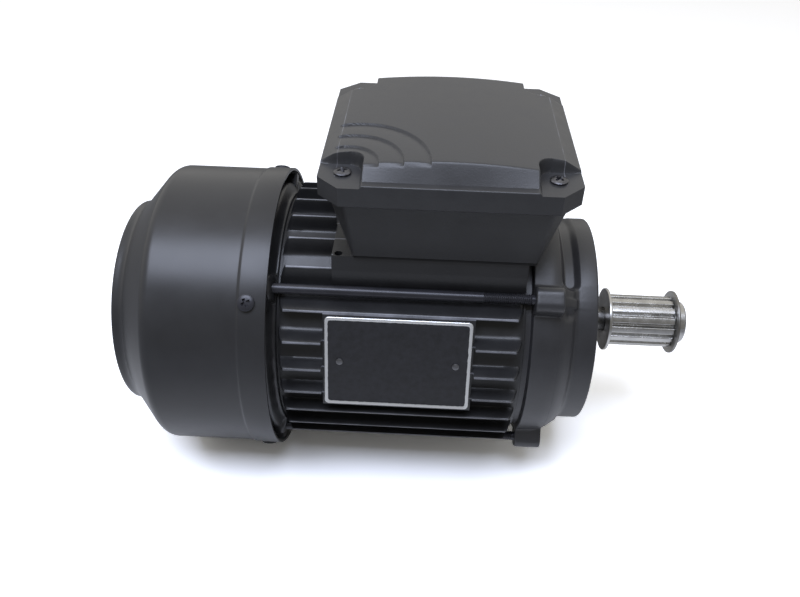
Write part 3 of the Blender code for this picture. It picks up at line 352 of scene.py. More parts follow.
# nitrile rubber: matt black, dusty
nitrile = makeFinish("moulded nitrile rubber", dict(
    colours=("#131313", "#1d1d1d"), cloud=4.0, roughness=(0.65, 0.8), grain=0.3, depth=0.02, specular=0.3))
# polypropylene fan: dark, waxy sheen
fanPlastic = makeFinish("moulded black polypropylene", dict(
    colours=("#141415", "#1d1d1f"), cloud=10.0, roughness=(0.4, 0.55), grain=0.7, depth=0.02))
# stamped electrical sheet, stacked along the shaft: thin lines across the core
laminatedSteel = makeFinish("stacked electrical steel sheets", dict(
    colours=("#5a5b5f", "#77787c"), cloud=8.0, roughness=(0.4, 0.6), grain=(0.5, 80.0, 80.0),
    depth=0.05, metallic=0.9))
# pressure-cast aluminium, left as cast: pale grey, finely pitted
bareCasting = makeFinish("as-cast aluminium", dict(
    colours=("#8f9092", "#b3b4b6"), cloud=6.0, roughness=(0.4, 0.55), grain=0.6, depth=0.03, metallic=1.0))
# enamelled copper wire dipped in varnish: brown-red strands under a clear skin
varnishedCopper = makeFinish("varnished copper winding", dict(
    colours=("#7a3c1c", "#a85a2c"), cloud=3.0, roughness=(0.28, 0.42), grain=(0.9, 6.0, 6.0),
    depth=0.2, metallic=0.6))
# turned brass, slightly tarnished: dull yellow
turnedBrass = makeFinish("turned brass", dict(
    colours=("#a58a48", "#c8ab62"), cloud=2.0, roughness=(0.25, 0.4), grain=0.3, depth=0.006, metallic=1.0))
# ground and hardened bearing steel: near mirror
groundSteel = makeFinish("ground bearing steel", dict(
    colours=("#b6b7b9", "#cfd0d2"), cloud=3.0, roughness=(0.12, 0.22), grain=(0.25, 30.0, 30.0), depth=0.002,
    metallic=1.0))
# pressed phenolic board: brown, dull
phenolic = makeFinish("pressed phenolic board", dict(
    colours=("#3a2a18", "#4d3a22"), cloud=3.0, roughness=(0.45, 0.6), grain=0.5, depth=0.03))
print("finishes:", len(bpy.data.materials))


# Fan cowl

cowl = dict(rimX=-130.4, rimR=62.36, stepX=-140.9, stepLength=0.9, bodyR=61.8, shoulderX=-178.8,
            neckX=-192.6, neckR=45.6, neckTaper=0.5, rearX=-197.0, discR=42.6,
            bends=(0, 0.7, 0.7, 2.6, 2.2, 2.0, 0), bendSteps=9, around=240,
            slots=((34.0, 41.0), (23.0, 30.0), (12.0, 19.0)), hubR=5.0, spokes=6, spokeAngle=15.0,
            firstSpoke=3.75, sheet=1.1, edge=0.5, edgeAngle=50.0)


def buildCowl(c):
    # sheet turned about the axis; cells of the rear disc are left out where a slot lies between two spokes
    side = rounded([(c["rimX"], c["rimR"]), (c["stepX"], c["rimR"]),
                    (c["stepX"] - c["stepLength"], c["bodyR"]), (c["shoulderX"], c["bodyR"]),
                    (c["neckX"], c["neckR"]), (c["rearX"], c["neckR"] - c["neckTaper"]),
                    (c["rearX"], c["discR"])], c["bends"], c["bendSteps"])
    rings = [(c["rearX"], r) for low, high in c["slots"] for r in (high, (low + high) / 2, low)]
    profile = np.concatenate([side, rings, [(c["rearX"], c["hubR"]), (c["rearX"], 0.0)]])
    points = turned(profile, c["around"])
    faces = tubeFaces(points, False).reshape(-1, c["around"], 4)
    middle = 360 * (np.arange(c["around"]) + 0.5) / c["around"]
    spokePitch = 360 / c["spokes"]
    fromSpoke = np.abs((middle - c["firstSpoke"] + spokePitch / 2) % spokePitch - spokePitch / 2)
    radii = (profile[:-1, 1] + profile[1:, 1]) / 2
    onDisc = profile[:-1, 0] == c["rearX"]
    inSlot = onDisc & np.any([(radii > low) & (radii < high) for low, high in c["slots"]], axis=0)
    opened = inSlot[:, None] & (fromSpoke > c["spokeAngle"] / 2)[None, :]
    thing = addMesh("spun_cowl", [(points, faces[~opened])])
    modify(thing, "SOLIDIFY", thickness=c["sheet"] / perMetre, offset=-1.0, material_offset=1)
    modify(thing, "BEVEL", width=c["edge"] / perMetre, segments=2, limit_method="ANGLE",
           angle_limit=math.radians(c["edgeAngle"]))
    settle(thing, ["fan_cowl"], sheetLacquer)
    thing.data.materials.append(bareSheet)


buildCowl(cowl)


# Finned frame

finned = dict(rear=-128.27, front=-29.75, bore=48.0, valley=50.5, tip=56.6, pitch=11.1, finsBeside=3,
              finStart=(0.9, 3.6), flare=0.25, flareLength=9.0, endRound=(0.2, 0.25),
              seat=52.2, seatHalf=35.4, seatX=(-106.5, -30.4), shelf=34.2, lean=5.5, clear=0.5,
              seatHole=(-103.9, -32.4, 1.6), drill=(46.0, 70.0),
              padX=-79.4, padTilt=15.0, pad=53.6, padHalf=(29.8, 20.0), padRound=(0.25, 0.5))
# offset from the fin's middle and share of its height: flat tip, round shoulder, drafted wall, root fillet
finShape = np.array([(0, 1), (0.2, 0.998), (0.36, 0.98), (0.5, 0.93), (0.62, 0.82), (0.8, 0.54), (0.98, 0.28),
                     (1.2, 0.11), (1.6, 0.025), (2.3, 0)])
# where grid lines stand: in from both ends, on both sides of the edges of pad and seat, and in between
endLines = np.array([0, 0.1, 0.25, 0.5, 0.9, 1.05, 1.25, 1.5, 1.8, 2.2, 2.6, 3.1, 3.6, 4.4, 5.4, 6.5, 8, 9.5,
                     11])
padEndLines = np.array([-0.4, -0.05, 0.05, 0.45, 0.55, 1])
padSideLines = np.array([-6.1, -5.95, -5.5, -5.4, -5.0, 32.8, 33.14, 33.24, 33.62, 33.72])
seatRearLines = np.array([-1, -0.55, -0.45, -0.05, 0.05, 0.4])
seatFrontLines = np.array([-0.5, -0.2, -0.05, 0.05, 0.2])
shelfLines = np.array([0, 0.5, 0.8, 1.05, 1.2])
plainLines = np.linspace(-115, -43, 13)


def finHeight(x, v, f):
    # valley circle plus parallel fins; a fin rises from both ends as the root of a smooth step and its foot
    # widens towards them
    fromEnd = np.minimum(x - f["rear"], f["front"] - x)
    valley = np.sqrt(f["valley"] ** 2 - v ** 2) + 0 * x
    nearest = np.clip(np.round(v / f["pitch"]), -f["finsBeside"], f["finsBeside"])
    offset = np.abs(v - f["pitch"] * nearest)
    flare = f["flare"] * np.clip(1 - fromEnd / f["flareLength"], 0, 1) ** 1.5
    fin = np.interp(np.maximum(offset - flare, 0) + 0 * x, *finShape.T)
    risen = np.sqrt(smooth(*f["finStart"], fromEnd))
    high = np.maximum(np.sqrt(f["tip"] ** 2 - v ** 2) - valley, 0) * risen
    return valley + high * fin - edgeDrop(*f["endRound"], fromEnd), fin * risen


def frameGrid(f):
    # x down the rows, v across one side along the columns, from the lower corner to the seat's edge
    padEnds = f["padX"] + np.array([-1, 1])[:, None] * (f["padHalf"][0] + padEndLines)
    seatRear, seatFront = f["seatX"]
    x = np.concatenate([f["rear"] + endLines, f["front"] - endLines, padEnds.ravel(),
                        seatRear + seatRearLines, seatFront + seatFrontLines, plainLines])
    fins = f["pitch"] * np.arange(-f["finsBeside"], f["finsBeside"] + 1)[:, None]
    fins = fins + np.concatenate([-finShape[:0:-1, 0], finShape[:, 0]])
    corner = f["valley"] / math.sqrt(2)
    shelf = f["shelf"] + shelfLines
    v = np.concatenate([fins.ravel(), padSideLines, shelf, -shelf, [-corner]])
    v = v[(v > -corner - 0.001) & (v < f["seatHalf"] + 0.01)]
    return np.unique(np.round(x, 3))[:, None], np.unique(np.round(v, 3))[None, :]


def buildFrame(f):
    # four finned sides, each turned a quarter on; pad and seat are cut into two of them
    x, v = frameGrid(f)
    height, fin = finHeight(x, v, f)
    sides = [height.copy() for k in range(4)]
    # the plate pad on the first side: a tilted plane, with everything beyond it planed off
    tilt = math.radians(f["padTilt"])
    plane = (f["pad"] - v * math.sin(tilt)) / math.cos(tilt) + 0 * x
    along = np.abs(x - f["padX"]) - f["padHalf"][0]
    across = np.abs(v * math.cos(tilt) - plane * math.sin(tilt)) - f["padHalf"][1]
    near = np.maximum(along, across)
    drop, reach = f["padRound"]
    sides[0] = np.where(near < f["clear"], np.minimum(sides[0], plane), sides[0])
    sides[0] = np.where(near < 0, plane - drop * smooth(-reach, 0, near), sides[0])
    # the seat on the top side: a block with leaning walls; the fins just behind it and before it are planed
    # to its height
    rear, front = f["seatX"]
    sides[1] = np.where(x > rear - f["clear"], np.minimum(sides[1], f["seat"]), sides[1])
    inSeat = (x > rear) & (x < front) & (np.abs(v) < f["seatHalf"] + 0.01)
    wall = f["lean"] * np.maximum(np.abs(v) - f["shelf"], 0)
    sides[1] = np.where(inSeat, f["seat"] - wall, sides[1])
    rows = []
    for k, h in enumerate(sides):
        turn = math.radians(90 * k)
        rows.append(np.stack([x + 0 * v, -h * math.cos(turn) + v * math.sin(turn),
                              h * math.sin(turn) + v * math.cos(turn)], -1))
    points = np.concatenate(rows, 1)
    unit = points[len(x) // 2, :, 1:] / np.linalg.norm(points[len(x) // 2, :, 1:], axis=1)[:, None]
    bore = [np.column_stack([np.full(len(unit), end), unit * f["bore"]]) for end in (f["front"], f["rear"])]
    points = np.concatenate([points, bore])
    # fin tips marked pale: partly rubbed wear, partly a painted highlight along each tip
    wornAndLit = np.concatenate([np.tile(smooth(0.95, 1.0, fin), (1, 4)), np.zeros((2, points.shape[1]))])
    thing = addMesh("finned_frame", [(points, tubeFaces(points))], wornAndLit)
    holeX, holeY, holeR = f["seatHole"]
    carve(thing, [stood(rod(holeR, *f["drill"], 20), (holeX, holeY, 0), *axesAt((0, 0, 1)))])
    settle(thing, ["stator_frame"], castEnamel)


buildFrame(finned)


# Drive-end casting

driveShield = dict(earX=(-27.0, -15.8), earHalf=5.4, earR=59.3, earRound=0.9, earReach=10.0, midR=48.0,
                   bridge=((-17, -12.5, -9.0, -8.0), (51.0, 48.8, 46.5, 44.0)), bridgeSide=(1.6, 3.2),
                   bridgeDrop=2.0, blends=(1.0, 0.6), pocketX=(-15.8, -7.2), pocketFloor=43.2,
                   pocketSpan=39.0, pocketR=46.0, pocketWall=(-0.4, 2.6), dimple=(5.6, -12.2, 2.0, 1.3),
                   faceHole=(37.5, 2.1), faceDrill=(-6.5, 6.0), sharp=38.0)
driveOuter = rounded([(-29.7, 48.9), (-27.3, 48.9), (-26.8, 51.7), (-18.5, 51.5), (-14.5, 50.3),
                      (-10.6, 47.2), (-9.2, 45.4), (-8.2, 45.0), (-7.0, 45.0)],
                     (0, 0.3, 0.4, 3, 3, 2, 0.9, 0.8, 0), 6)
driveInner = rounded([(-7.0, 45.0), (0.0, 45.0), (0.0, 30.0), (2.5, 30.0), (2.5, 11.3), (-3.9, 11.3),
                      (-3.9, 8.6), (-6.3, 8.6), (-6.3, 16.2), (-16.6, 16.2), (-16.6, 20.0), (-8.5, 20.6),
                      (-8.5, 34.0), (-16.5, 38.4), (-22.0, 44.6), (-34.0, 44.6), (-34.0, 47.7),
                      (-29.7, 47.7)],
                     (0, 0.9, 0.3, 0.6, 0.4, 0.2, 0.2, 0.2, 0.2, 0.3, 0.3, 1, 1, 1, 1, 0.3, 0.3, 0), 4)
# grid lines along x, close together where the outline turns
driveLines = np.concatenate([
    [-29.7, -28.5, -27.6, -27.4, -27.25, -27.1, -27.02, -26.98, -26.8, -26.6, -26.4, -26.0],
    np.arange(-25.2, -17, 1.2), [-16.8, -16.4, -16.15, -15.95, -15.83, -15.77, -15.6],
    np.arange(-15.45, -7.0, 0.33), [-7.0]])


def earRadius(offset, half, outer):
    # outline of a rounded lug seen along the axis, as a radius for each angle from its middle
    outline = rounded([(outer, 0), (outer, half - 2.6), (outer - 1.6, half - 0.7), (outer - 4.6, half),
                       (44.0, half + 1.4), (40.0, half + 3.0)], (0, 1.5, 1.5, 1.5, 0.5, 0), 6)
    return np.interp(offset, np.arctan2(outline[:, 1], outline[:, 0]), np.hypot(*outline.T))


def angleLines(spans):
    # angles in radians for a ring of grid columns: each span is a list of starts and the steps from them
    degrees = np.concatenate([np.add.outer(starts, steps).ravel() for starts, steps in spans])
    return np.radians(np.unique(np.round(degrees % 360, 2)))[None, :]


def fromCorner(angle):
    # angle to the nearest of the four corners
    return np.abs(angle % (np.pi / 2) - np.pi / 4)


def buildDriveShield(d):
    # turned outline, joined with four lugs and bridges, then hollowed by two curved pockets and four dimples
    reach = d["earReach"]
    angle = angleLines([(cornerAngles, np.linspace(-reach, reach, 47)),
                        ((0, 180), np.arange(51, 129.1, 0.75)), ((0, 180), np.arange(-33, 34, 3.0))])
    x = driveLines[:, None]
    base = np.interp(x, *driveOuter.T) + 0 * angle
    offset = fromCorner(angle)
    rear, front = d["earX"]
    lugBlend, bridgeBlend = d["blends"]
    lug = earRadius(offset, d["earHalf"], d["earR"])
    lug = lug - edgeDrop(d["earRound"], d["earRound"], np.minimum(x - rear, front - x))
    r = np.where((x > rear) & (x < front), softMax(base, lug, lugBlend), base)
    bridge = np.interp(x, *d["bridge"]) - d["bridgeDrop"] * smooth(*d["bridgeSide"], offset * d["midR"])
    r = np.where(x > front, softMax(r, bridge, bridgeBlend), r)
    # pocket: stadium in the unrolled drum, depth from its edge inwards
    low, high = d["pocketX"]
    half = (high - low) / 2
    toMiddle = np.abs(np.degrees(angle) % 180 - 90)
    beyond = np.maximum(np.radians(toMiddle - d["pocketSpan"]) * d["pocketR"] + half, 0)
    inside = half - np.hypot(beyond, x - (low + high) / 2)
    r = r - smooth(*d["pocketWall"], inside) * np.maximum(r - d["pocketFloor"], 0)
    # dimple just off each bridge, on the side away from the pockets: a bell curve
    across, middleX, size, depth = d["dimple"]
    away = np.where(np.abs(np.sin(angle)) > math.sqrt(0.5), -1.0, 1.0) * offset
    spread = ((away - math.radians(across)) * d["midR"]) ** 2 + (x - middleX) ** 2
    r = r - depth * np.exp(-spread / size ** 2) * (x > front)
    points = np.concatenate([ringPoints(x, r, angle), ringPoints(*driveInner[1:].T[:, :, None], angle)])
    thing = addMesh("drive_end_casting", [(points, tubeFaces(points))])
    circle, holeR = d["faceHole"]
    hole, faces = rod(holeR, *d["faceDrill"], 24)
    carve(thing, [(hole + outward(a) * circle, faces) for a in cornerAngles])
    # the paler enamel on this shield is painted light
    settle(thing, ["drive_end_shield"], litEnamelCopy, sharp=d["sharp"])


buildDriveShield(driveShield)


# Fan-end casting

fanShield = dict(front=-128.3, back=-134.0, radius=51.5, rise=4.4, riseX=(-128.5, -132.4),
                 endRound=(0.2, 0.25), earHalf=5.4, earR=58.6, earReach=10.0, nose=(-131.6, -128.5),
                 blend=0.8, block=(-141.5, -130.5, 3.0), blockR=(46.0, 60.3), blockCorner=0.8,
                 blockAngle=38.4, screwHole=(-137.8, 1.75), screwDrill=(50.0, 62.0), rodHole=(54.5, 2.2),
                 rodDrill=(-142.5, -123.0), sharp=38.0)
fanInner = rounded([(-134.0, 51.6), (-134.0, 24.0), (-141.0, 20.0), (-141.0, 8.6), (-138.6, 8.6),
                    (-138.6, 16.2), (-127.0, 16.2), (-127.0, 20.0), (-130.4, 21.0), (-130.4, 40.6),
                    (-128.3, 44.6), (-124.0, 44.6), (-124.0, 47.7), (-128.3, 47.7)],
                   (0, 1, 1, 0.3, 0.2, 0.2, 0.3, 0.3, 1, 1, 0.5, 0.3, 0.3, 0), 4)
fanLines = np.concatenate([[-128.3, -128.4, -128.5], np.linspace(-128.6, -131.6, 13),
                           [-132.6, -133.4, -133.75, -133.9]])


def buildFanShield(d):
    # turned outline with four lugs that fall away to the front in a quarter ellipse, and four cowl blocks
    reach = d["earReach"]
    angle = angleLines([(cornerAngles, np.linspace(-reach, reach, 41)), ((0,), np.arange(0, 360, 3.0))])
    x = fanLines[:, None]
    base = d["radius"] + d["rise"] * smooth(*d["riseX"], x) ** 1.3
    base = base - edgeDrop(*d["endRound"], np.minimum(x - d["back"], d["front"] - x)) + 0 * angle
    low, high = d["nose"]
    share = np.sqrt(1 - np.clip((x - low) / (high - low), 0, 1) ** 2)
    lug = base + (earRadius(fromCorner(angle), d["earHalf"], d["earR"]) - base) * share
    r = softMax(base, lug, d["blend"])
    points = np.concatenate([ringPoints(x, r, angle), ringPoints(*fanInner[1:].T[:, :, None], angle)])
    thing = addMesh("fan_end_casting", [(points, tubeFaces(points))])
    x0, x1, half = d["block"]
    flat = rounded([(x0, -half), (x1, -half), (x1, half), (x0, half)], d["blockCorner"], 4, True)
    loops = np.stack([atLevel(flat, level) for level in d["blockR"]])
    holeX, holeR = d["screwHole"]
    circle, rodR = d["rodHole"]
    bar, barFaces = rod(rodR, *d["rodDrill"], 24)
    blocks, holes = [], []
    for a in cornerAngles:
        axes = axesAt(outward(a - cornerAngles[0] + d["blockAngle"]))
        blocks.append((placed(loops, (0, 0, 0), *axes), loftFaces(loops)))
        holes.append(stood(rod(holeR, *d["screwDrill"], 16), (holeX, 0, 0), *axes))
        holes.append((bar + outward(a) * circle, barFaces))
    carve(thing, blocks, "UNION")
    carve(thing, holes)
    settle(thing, ["fan_end_shield"], castEnamel, sharp=d["sharp"])


buildFanShield(fanShield)


# Tie rods

tieRod = dict(circle=54.5, radius=2.1, head=(-137.7, -134.3, 3.0), headEdge=0.5, thread=(-47.2, -28.0),
              runIn=0.8, pitch=0.8, threadDepth=0.34, hidden=(-25.0, -17.8), around=28, sharp=50.0)


def buildTieRods(t):
    # radius over x and angle: plain bar, with a helical groove from the thread's start on
    rear, front, headR = t["head"]
    start, stop = t["thread"]
    x = np.concatenate([np.linspace(front + 0.05, start - 0.3, 6), np.arange(start, stop, t["pitch"] / 8),
                        t["hidden"]])[:, None]
    angle = 2 * np.pi * np.arange(t["around"]) / t["around"]
    wave = 0.5 - 0.5 * np.cos(2 * np.pi * x / t["pitch"] - angle)
    r = t["radius"] - t["threadDepth"] * wave ** 0.8 * smooth(start, start + t["runIn"], x)
    head = turned([(rear, 0), (rear, headR - t["headEdge"]), (rear + t["headEdge"], headR), (front, headR),
                   (front, t["radius"])], t["around"])
    points = np.concatenate([head, ringPoints(x, r, angle), turned([(t["hidden"][-1], 0)], t["around"])])
    faces = tubeFaces(points, False)
    for n, a in enumerate(cornerAngles, 1):
        thing = addMesh(f"threaded_rod_{n}", [(points + outward(a) * t["circle"], faces)])
        settle(thing, [f"tie_rod_{n}"], blackOxide, sharp=t["sharp"])


buildTieRods(tieRod)


# Screws and rivets

# cross: half width and reach of the recess, as shares of the radius, and its depth
cowlScrew = dict(radius=3.3, height=1.7, shank=1.5, length=9.5, cross=(0.13, 0.52, 1.1), at=62.5, x=-137.8,
                 first=38.4, twist=(0.5, 0.7))
lidScrew = dict(radius=3.2, height=1.6, shank=1.5, length=12.0, cross=(0.13, 0.55, 1.0), z=88.7,
                twist=(0.3, 0.5))
plateRivet = dict(radius=1.35, height=0.5, shank=1.0, length=4.0, cross=(0.1, 0.5, 0.0))
headForm = dict(rim=0.42, fullness=0.92, slope=1.4, armEnd=(1.08, 0.7), sharp=40.0)


def headShape(s, twist):
    # square grid drawn into a disc; domed, with a crossed recess where one coordinate is small
    armHalf, armLength, depth = s["cross"]
    slope, (armOut, armIn) = headForm["slope"], headForm["armEnd"]
    t = np.concatenate([np.linspace(-1, 1, 17), armHalf * np.array([-slope, -1, 1, slope]),
                        armLength * np.array([-armOut, -0.92, 0.92, armOut])])
    t = np.unique(np.round(t, 4))
    u, v = np.meshgrid(t, t, indexing="ij")
    du, dv = u * np.sqrt(1 - v ** 2 / 2), v * np.sqrt(1 - u ** 2 / 2)
    bulge = np.sqrt(np.maximum(0, 1 - headForm["fullness"] * (du ** 2 + dv ** 2)))
    dome = s["height"] * (headForm["rim"] + (1 - headForm["rim"]) * bulge)
    narrow, wide = np.minimum(np.abs(u), np.abs(v)), np.maximum(np.abs(u), np.abs(v))
    recess = smooth(armHalf * slope, armHalf, narrow) * smooth(armLength * armOut, armLength * armIn, wide)
    c, d = math.cos(twist), math.sin(twist)
    top = np.stack([s["radius"] * (du * c - dv * d), s["radius"] * (du * d + dv * c),
                    dome - depth * recess], -1)
    rim = top.reshape(-1, 3)[borderOf(*u.shape)]
    unit = rim[:, :2] / np.linalg.norm(rim[:, :2], axis=1)[:, None]
    rings = [atLevel(unit * r, z) for r, z in ((s["radius"], 0), (s["shank"], 0), (s["shank"], -s["length"]),
                                               (0.0, -s["length"]))]
    skirt = np.stack([rim] + rings)
    return [(top, quads(*u.shape)), (skirt, tubeFaces(skirt, False))]


def buildScrew(name, node, s, origin, out, twist, finish):
    parts = [(placed(p, origin, *axesAt(out)), faces) for p, faces in headShape(s, twist)]
    settle(addMesh(name, parts), [node], finish, sharp=headForm["sharp"])


def buildCowlScrews(s):
    firstTwist, moreTwist = s["twist"]
    for n in range(4):
        out = outward(s["first"] + 90 * n)
        buildScrew(f"cowl_cross_screw_{n + 1}", f"cowl_screw_{n + 1}", s, out * s["at"] + (s["x"], 0, 0), out,
                   firstTwist + moreTwist * n, blackOxide)


buildCowlScrews(cowlScrew)


# Terminal box

boxX = -62.8  # middle of box and lid
box = dict(base=53.4, top=81.0, baseHalf=35.9, topHalf=43.6, chamfer=6.0, baseChamfer=1.0, corner=1.4,
           foot=((0.5, 0.8, 0.0), (0.1, 0.9, 0.25)), footTop=0.7, wall=2.5, floor=3.0, floorGain=0.8,
           entryR=12.5, entryY=45.2, entryZ=68.2, bossFrom=34.0, bossEdge=0.6, entryHole=8.2,
           entryDrill=(20.0, 60.0), sharp=28.0)


def boxOutline(half, chamfer, z):
    # square with cut corners, every corner rounded
    a, b = half, half - chamfer
    corners = [(b, -a), (a, -b), (a, b), (b, a), (-b, a), (-a, b), (-a, -b), (-b, -a)]
    return atLevel(rounded(corners, box["corner"], 5, True) + (boxX, 0), z)


def buildBox(b):
    # loft of cut squares from the seat up to the rim, then down the inside to the floor
    footTop = b["base"] + b["footTop"]
    levels = [(b["baseHalf"] - inset, chamfer, b["base"] + rise) for inset, chamfer, rise in b["foot"]]
    levels += [(b["baseHalf"] + (b["topHalf"] - b["baseHalf"]) * s,
                b["baseChamfer"] + (b["chamfer"] - b["baseChamfer"]) * s,
                footTop + (b["top"] - footTop) * s) for s in np.linspace(0, 1, 9)]
    levels += [(b["topHalf"] - b["wall"], b["chamfer"] - 1, b["top"]),
               (b["baseHalf"] - b["wall"] + b["floorGain"], b["baseChamfer"], b["base"] + b["floor"])]
    loops = np.stack([boxOutline(*level) for level in levels])
    thing = addMesh("moulded_box", [(loops, loftFaces(loops))])
    r, y, edge = b["entryR"], b["entryY"], b["bossEdge"]
    boss = turnedPart([(b["bossFrom"], 0), (b["bossFrom"], r), (y - edge, r), (y, r - edge), (y, 0)], 48,
                      False)
    entry = ((boxX, 0, b["entryZ"]), (0, 0, 1), (1, 0, 0), (0, 1, 0))
    carve(thing, [stood(boss, *entry)], "UNION")
    carve(thing, [stood(rod(b["entryHole"], *b["entryDrill"], 48), *entry)])
    settle(thing, ["terminal_box"], blastedPolyamide, sharp=b["sharp"])


buildBox(box)


# Box lid with its screws

# rubbed: width and strength of a painted highlight along the creases at both ends of the panel
lid = dict(half=(47.0, 46.6), chamfer=8.0, base=81.3, rim=90.0, edgeRound=(0.6, 0.7), panel=(40.8, 38.4),
           edge=93.3, crown=3.1, crease=0.004, ledge=(0.6, 3.4), floor=88.9, screw=(38.2, 35.6), notch=7.4,
           notchRound=6.0, notchWall=(-0.2, 0.9), arcs=(15.2, 24.0, 33.5), arcCentre=(-40.5, -38.6),
           arcStep=0.26, arcFade=0.3, terrace=(0.75, 4.0), scuff=(-2.0, -46.4), scuffSize=(3.0, 0.5),
           rubbed=(0.35, 1.0), skirt=((1.0, 4.7), (1.0, 0.4), (0.992, 0.0), (0.94, 0.0), (0.94, 1.4)),
           sharp=40.0)
# where grid lines stand: evenly spread, through arcs and notch walls, at the border and at creases
lidLines = dict(even=61, arcs=np.arange(4.0, 44.0, 0.25), notches=np.arange(28.0, 38.0, 0.25),
                border=np.array([0, 0.12, 0.3, 0.5, 0.75, 1.1]), crease=np.array([-0.4, -0.2, 0, 0.2, 0.4]))


def lidHeight(x, y, p):
    # crowned panel, slopes down to the rim, corner notches with a round inner corner, terraced quarter arcs
    ax, ay = np.abs(x), np.abs(y)
    px, py = p["panel"]
    hx, hy = p["half"]
    crown = p["edge"] + p["crown"] * (1 - (np.minimum(ax, px) / px) ** 2)
    ledgeX, ledgeY = p["ledge"]
    fall = np.maximum((ax - px) / (hx - ledgeX - px), (ay - py) / (hy - ledgeY - py))
    fall = np.clip(0.5 * (fall + np.sqrt(fall ** 2 + p["crease"])), 0, 1)
    z = crown + (p["rim"] - crown) * fall
    ring = np.hypot(x - p["arcCentre"][0], y - p["arcCentre"][1])
    onPanel = 1 - smooth(0.0, p["arcFade"], fall)
    deep, recover = p["terrace"]
    for r in p["arcs"]:
        sunk = smooth(r + p["arcStep"], r - p["arcStep"], ring) * np.exp(-np.maximum(r - ring, 0) / recover)
        z = z - onPanel * deep * sunk
    toEdge = np.minimum(np.minimum(hx - ax, hy - ay), (hx + hy - p["chamfer"] - ax - ay) / math.sqrt(2))
    z = z - edgeDrop(*p["edgeRound"], toEdge)
    k = p["notchRound"]
    ix, iy = p["screw"][0] - p["notch"], p["screw"][1] - p["notch"]
    inside = k - np.hypot(np.maximum(k - (ax - ix), 0), np.maximum(k - (ay - iy), 0))
    share = smooth(*p["notchWall"], inside)
    return z * (1 - share) + np.minimum(z, p["floor"]) * share


def lidGrid(p):
    # lines along x and y, with the ends of the x lines drawn in at the cut corners
    grids = []
    for h, edge, ledge in zip(p["half"], p["panel"], p["ledge"]):
        folds = np.concatenate([edge + lidLines["crease"], h - ledge + lidLines["crease"]])
        t = np.concatenate([np.linspace(-h, h, lidLines["even"]), lidLines["arcs"] - h, lidLines["notches"],
                            h - lidLines["border"], lidLines["border"] - h, folds, -folds])
        grids.append(np.unique(np.round(t, 2)))
    x, y = np.meshgrid(*grids, indexing="ij")
    hx, hy = p["half"]
    keep = hx - p["chamfer"] - 1.0
    limit = hx - np.maximum(np.abs(y) - (hy - p["chamfer"]), 0)
    drawn = keep + (np.abs(x) - keep) * (limit - keep) / (hx - keep)
    return np.where(np.abs(x) > keep, np.sign(x) * drawn, x), y


def buildLid(p):
    # top over the grid; its border goes down as a skirt and turns in
    x, y = lidGrid(p)
    top = np.stack([x + boxX, y, lidHeight(x, y, p)], -1)
    rim = top.reshape(-1, 3)[borderOf(*x.shape)]
    middle = np.array([boxX, 0.0])
    rings = [atLevel(middle + (rim[:, :2] - middle) * share, p["base"] + rise) for share, rise in p["skirt"]]
    skirt = np.stack([rim] + rings)
    # wear and highlight: a scuffed spot on the front edge, and a painted highlight along the creases at both
    # ends of the panel, each a bell curve
    (scuffX, scuffY), (sizeX, sizeY) = p["scuff"], p["scuffSize"]
    scuffed = np.exp(-((x - scuffX) / sizeX) ** 2 - ((y - scuffY) / sizeY) ** 2)
    width, strength = p["rubbed"]
    rubbed = strength * np.exp(-((np.abs(x) - p["panel"][0]) / width) ** 2) * (np.abs(y) < p["panel"][1])
    wearAndHighlight = np.concatenate([np.maximum(scuffed, rubbed).ravel(), np.zeros(skirt.size // 3)])
    thing = addMesh("moulded_lid", [(top, quads(*x.shape)), (skirt, loftFaces(skirt, True))], wearAndHighlight)
    settle(thing, ["terminal_lid"], mouldedPolyamide, sharp=p["sharp"])


def buildLidScrews(s, p):
    firstTwist, moreTwist = s["twist"]
    for n, (sx, sy) in enumerate(((-1, -1), (1, -1), (1, 1), (-1, 1))):
        at = (boxX + sx * p["screw"][0], sy * p["screw"][1], s["z"])
        buildScrew(f"lid_cross_screw_{n + 1}", f"lid_screw_{n + 1}", s, at, (0, 0, 1),
                   firstTwist + moreTwist * n, rubbedSteel)


buildLid(lid)
buildLidScrews(lidScrew, lid)


# Name plate, bare, with its rivets

plate = dict(x=-79.4, tilt=15.0, length=57.8, height=38.2, base=53.7, thick=0.6, field=0.48, edge=0.15,
             corner=2.0, leastCorner=0.8, border=1.25, step=0.3, fringe=(0.52, 0.55), flat=2.0, rivet=23.0)


def buildPlate(p):
    # rounded rectangle drawn inwards step by step: edge, raised bare border, sunk field
    out = outward(p["tilt"])
    thick, border, step = p["thick"], p["border"], p["step"]
    steps = ((0.0, 0.0, 1), (0.0, thick - p["edge"], 1), (p["edge"], thick, 1), (border - step, thick, 1),
             (border, *p["fringe"]), (border + step, p["field"], 0), (border + p["flat"], p["field"], 0))
    loops, wearAndHighlight = [], []
    for inset, level, bare in steps:
        a, b = p["length"] / 2 - inset, p["height"] / 2 - inset
        corner = max(p["corner"] - inset * 0.5, p["leastCorner"])
        flat = rounded([(a, b), (-a, b), (-a, -b), (a, -b)], corner, 8, True)
        loops.append(atLevel(flat, level))
        wearAndHighlight.append(np.full(len(flat), bare))
    loops = np.stack(loops)
    points = placed(loops, out * p["base"] + (p["x"], 0, 0), *axesAt(out))
    thing = addMesh("plain_plate", [(points, loftFaces(loops))], np.stack(wearAndHighlight))
    settle(thing, ["name_plate"], etchedPlate)
    for n, side in enumerate((-1, 1), 1):
        at = out * (p["base"] + p["field"]) + (p["x"] + side * p["rivet"], 0, 0)
        buildScrew(f"plate_rivet_{n}", f"name_plate_rivet_{n}", plateRivet, at, out, 0.0, rivetAluminium)


buildPlate(plate)


# Pulley, its flanges and the shaft

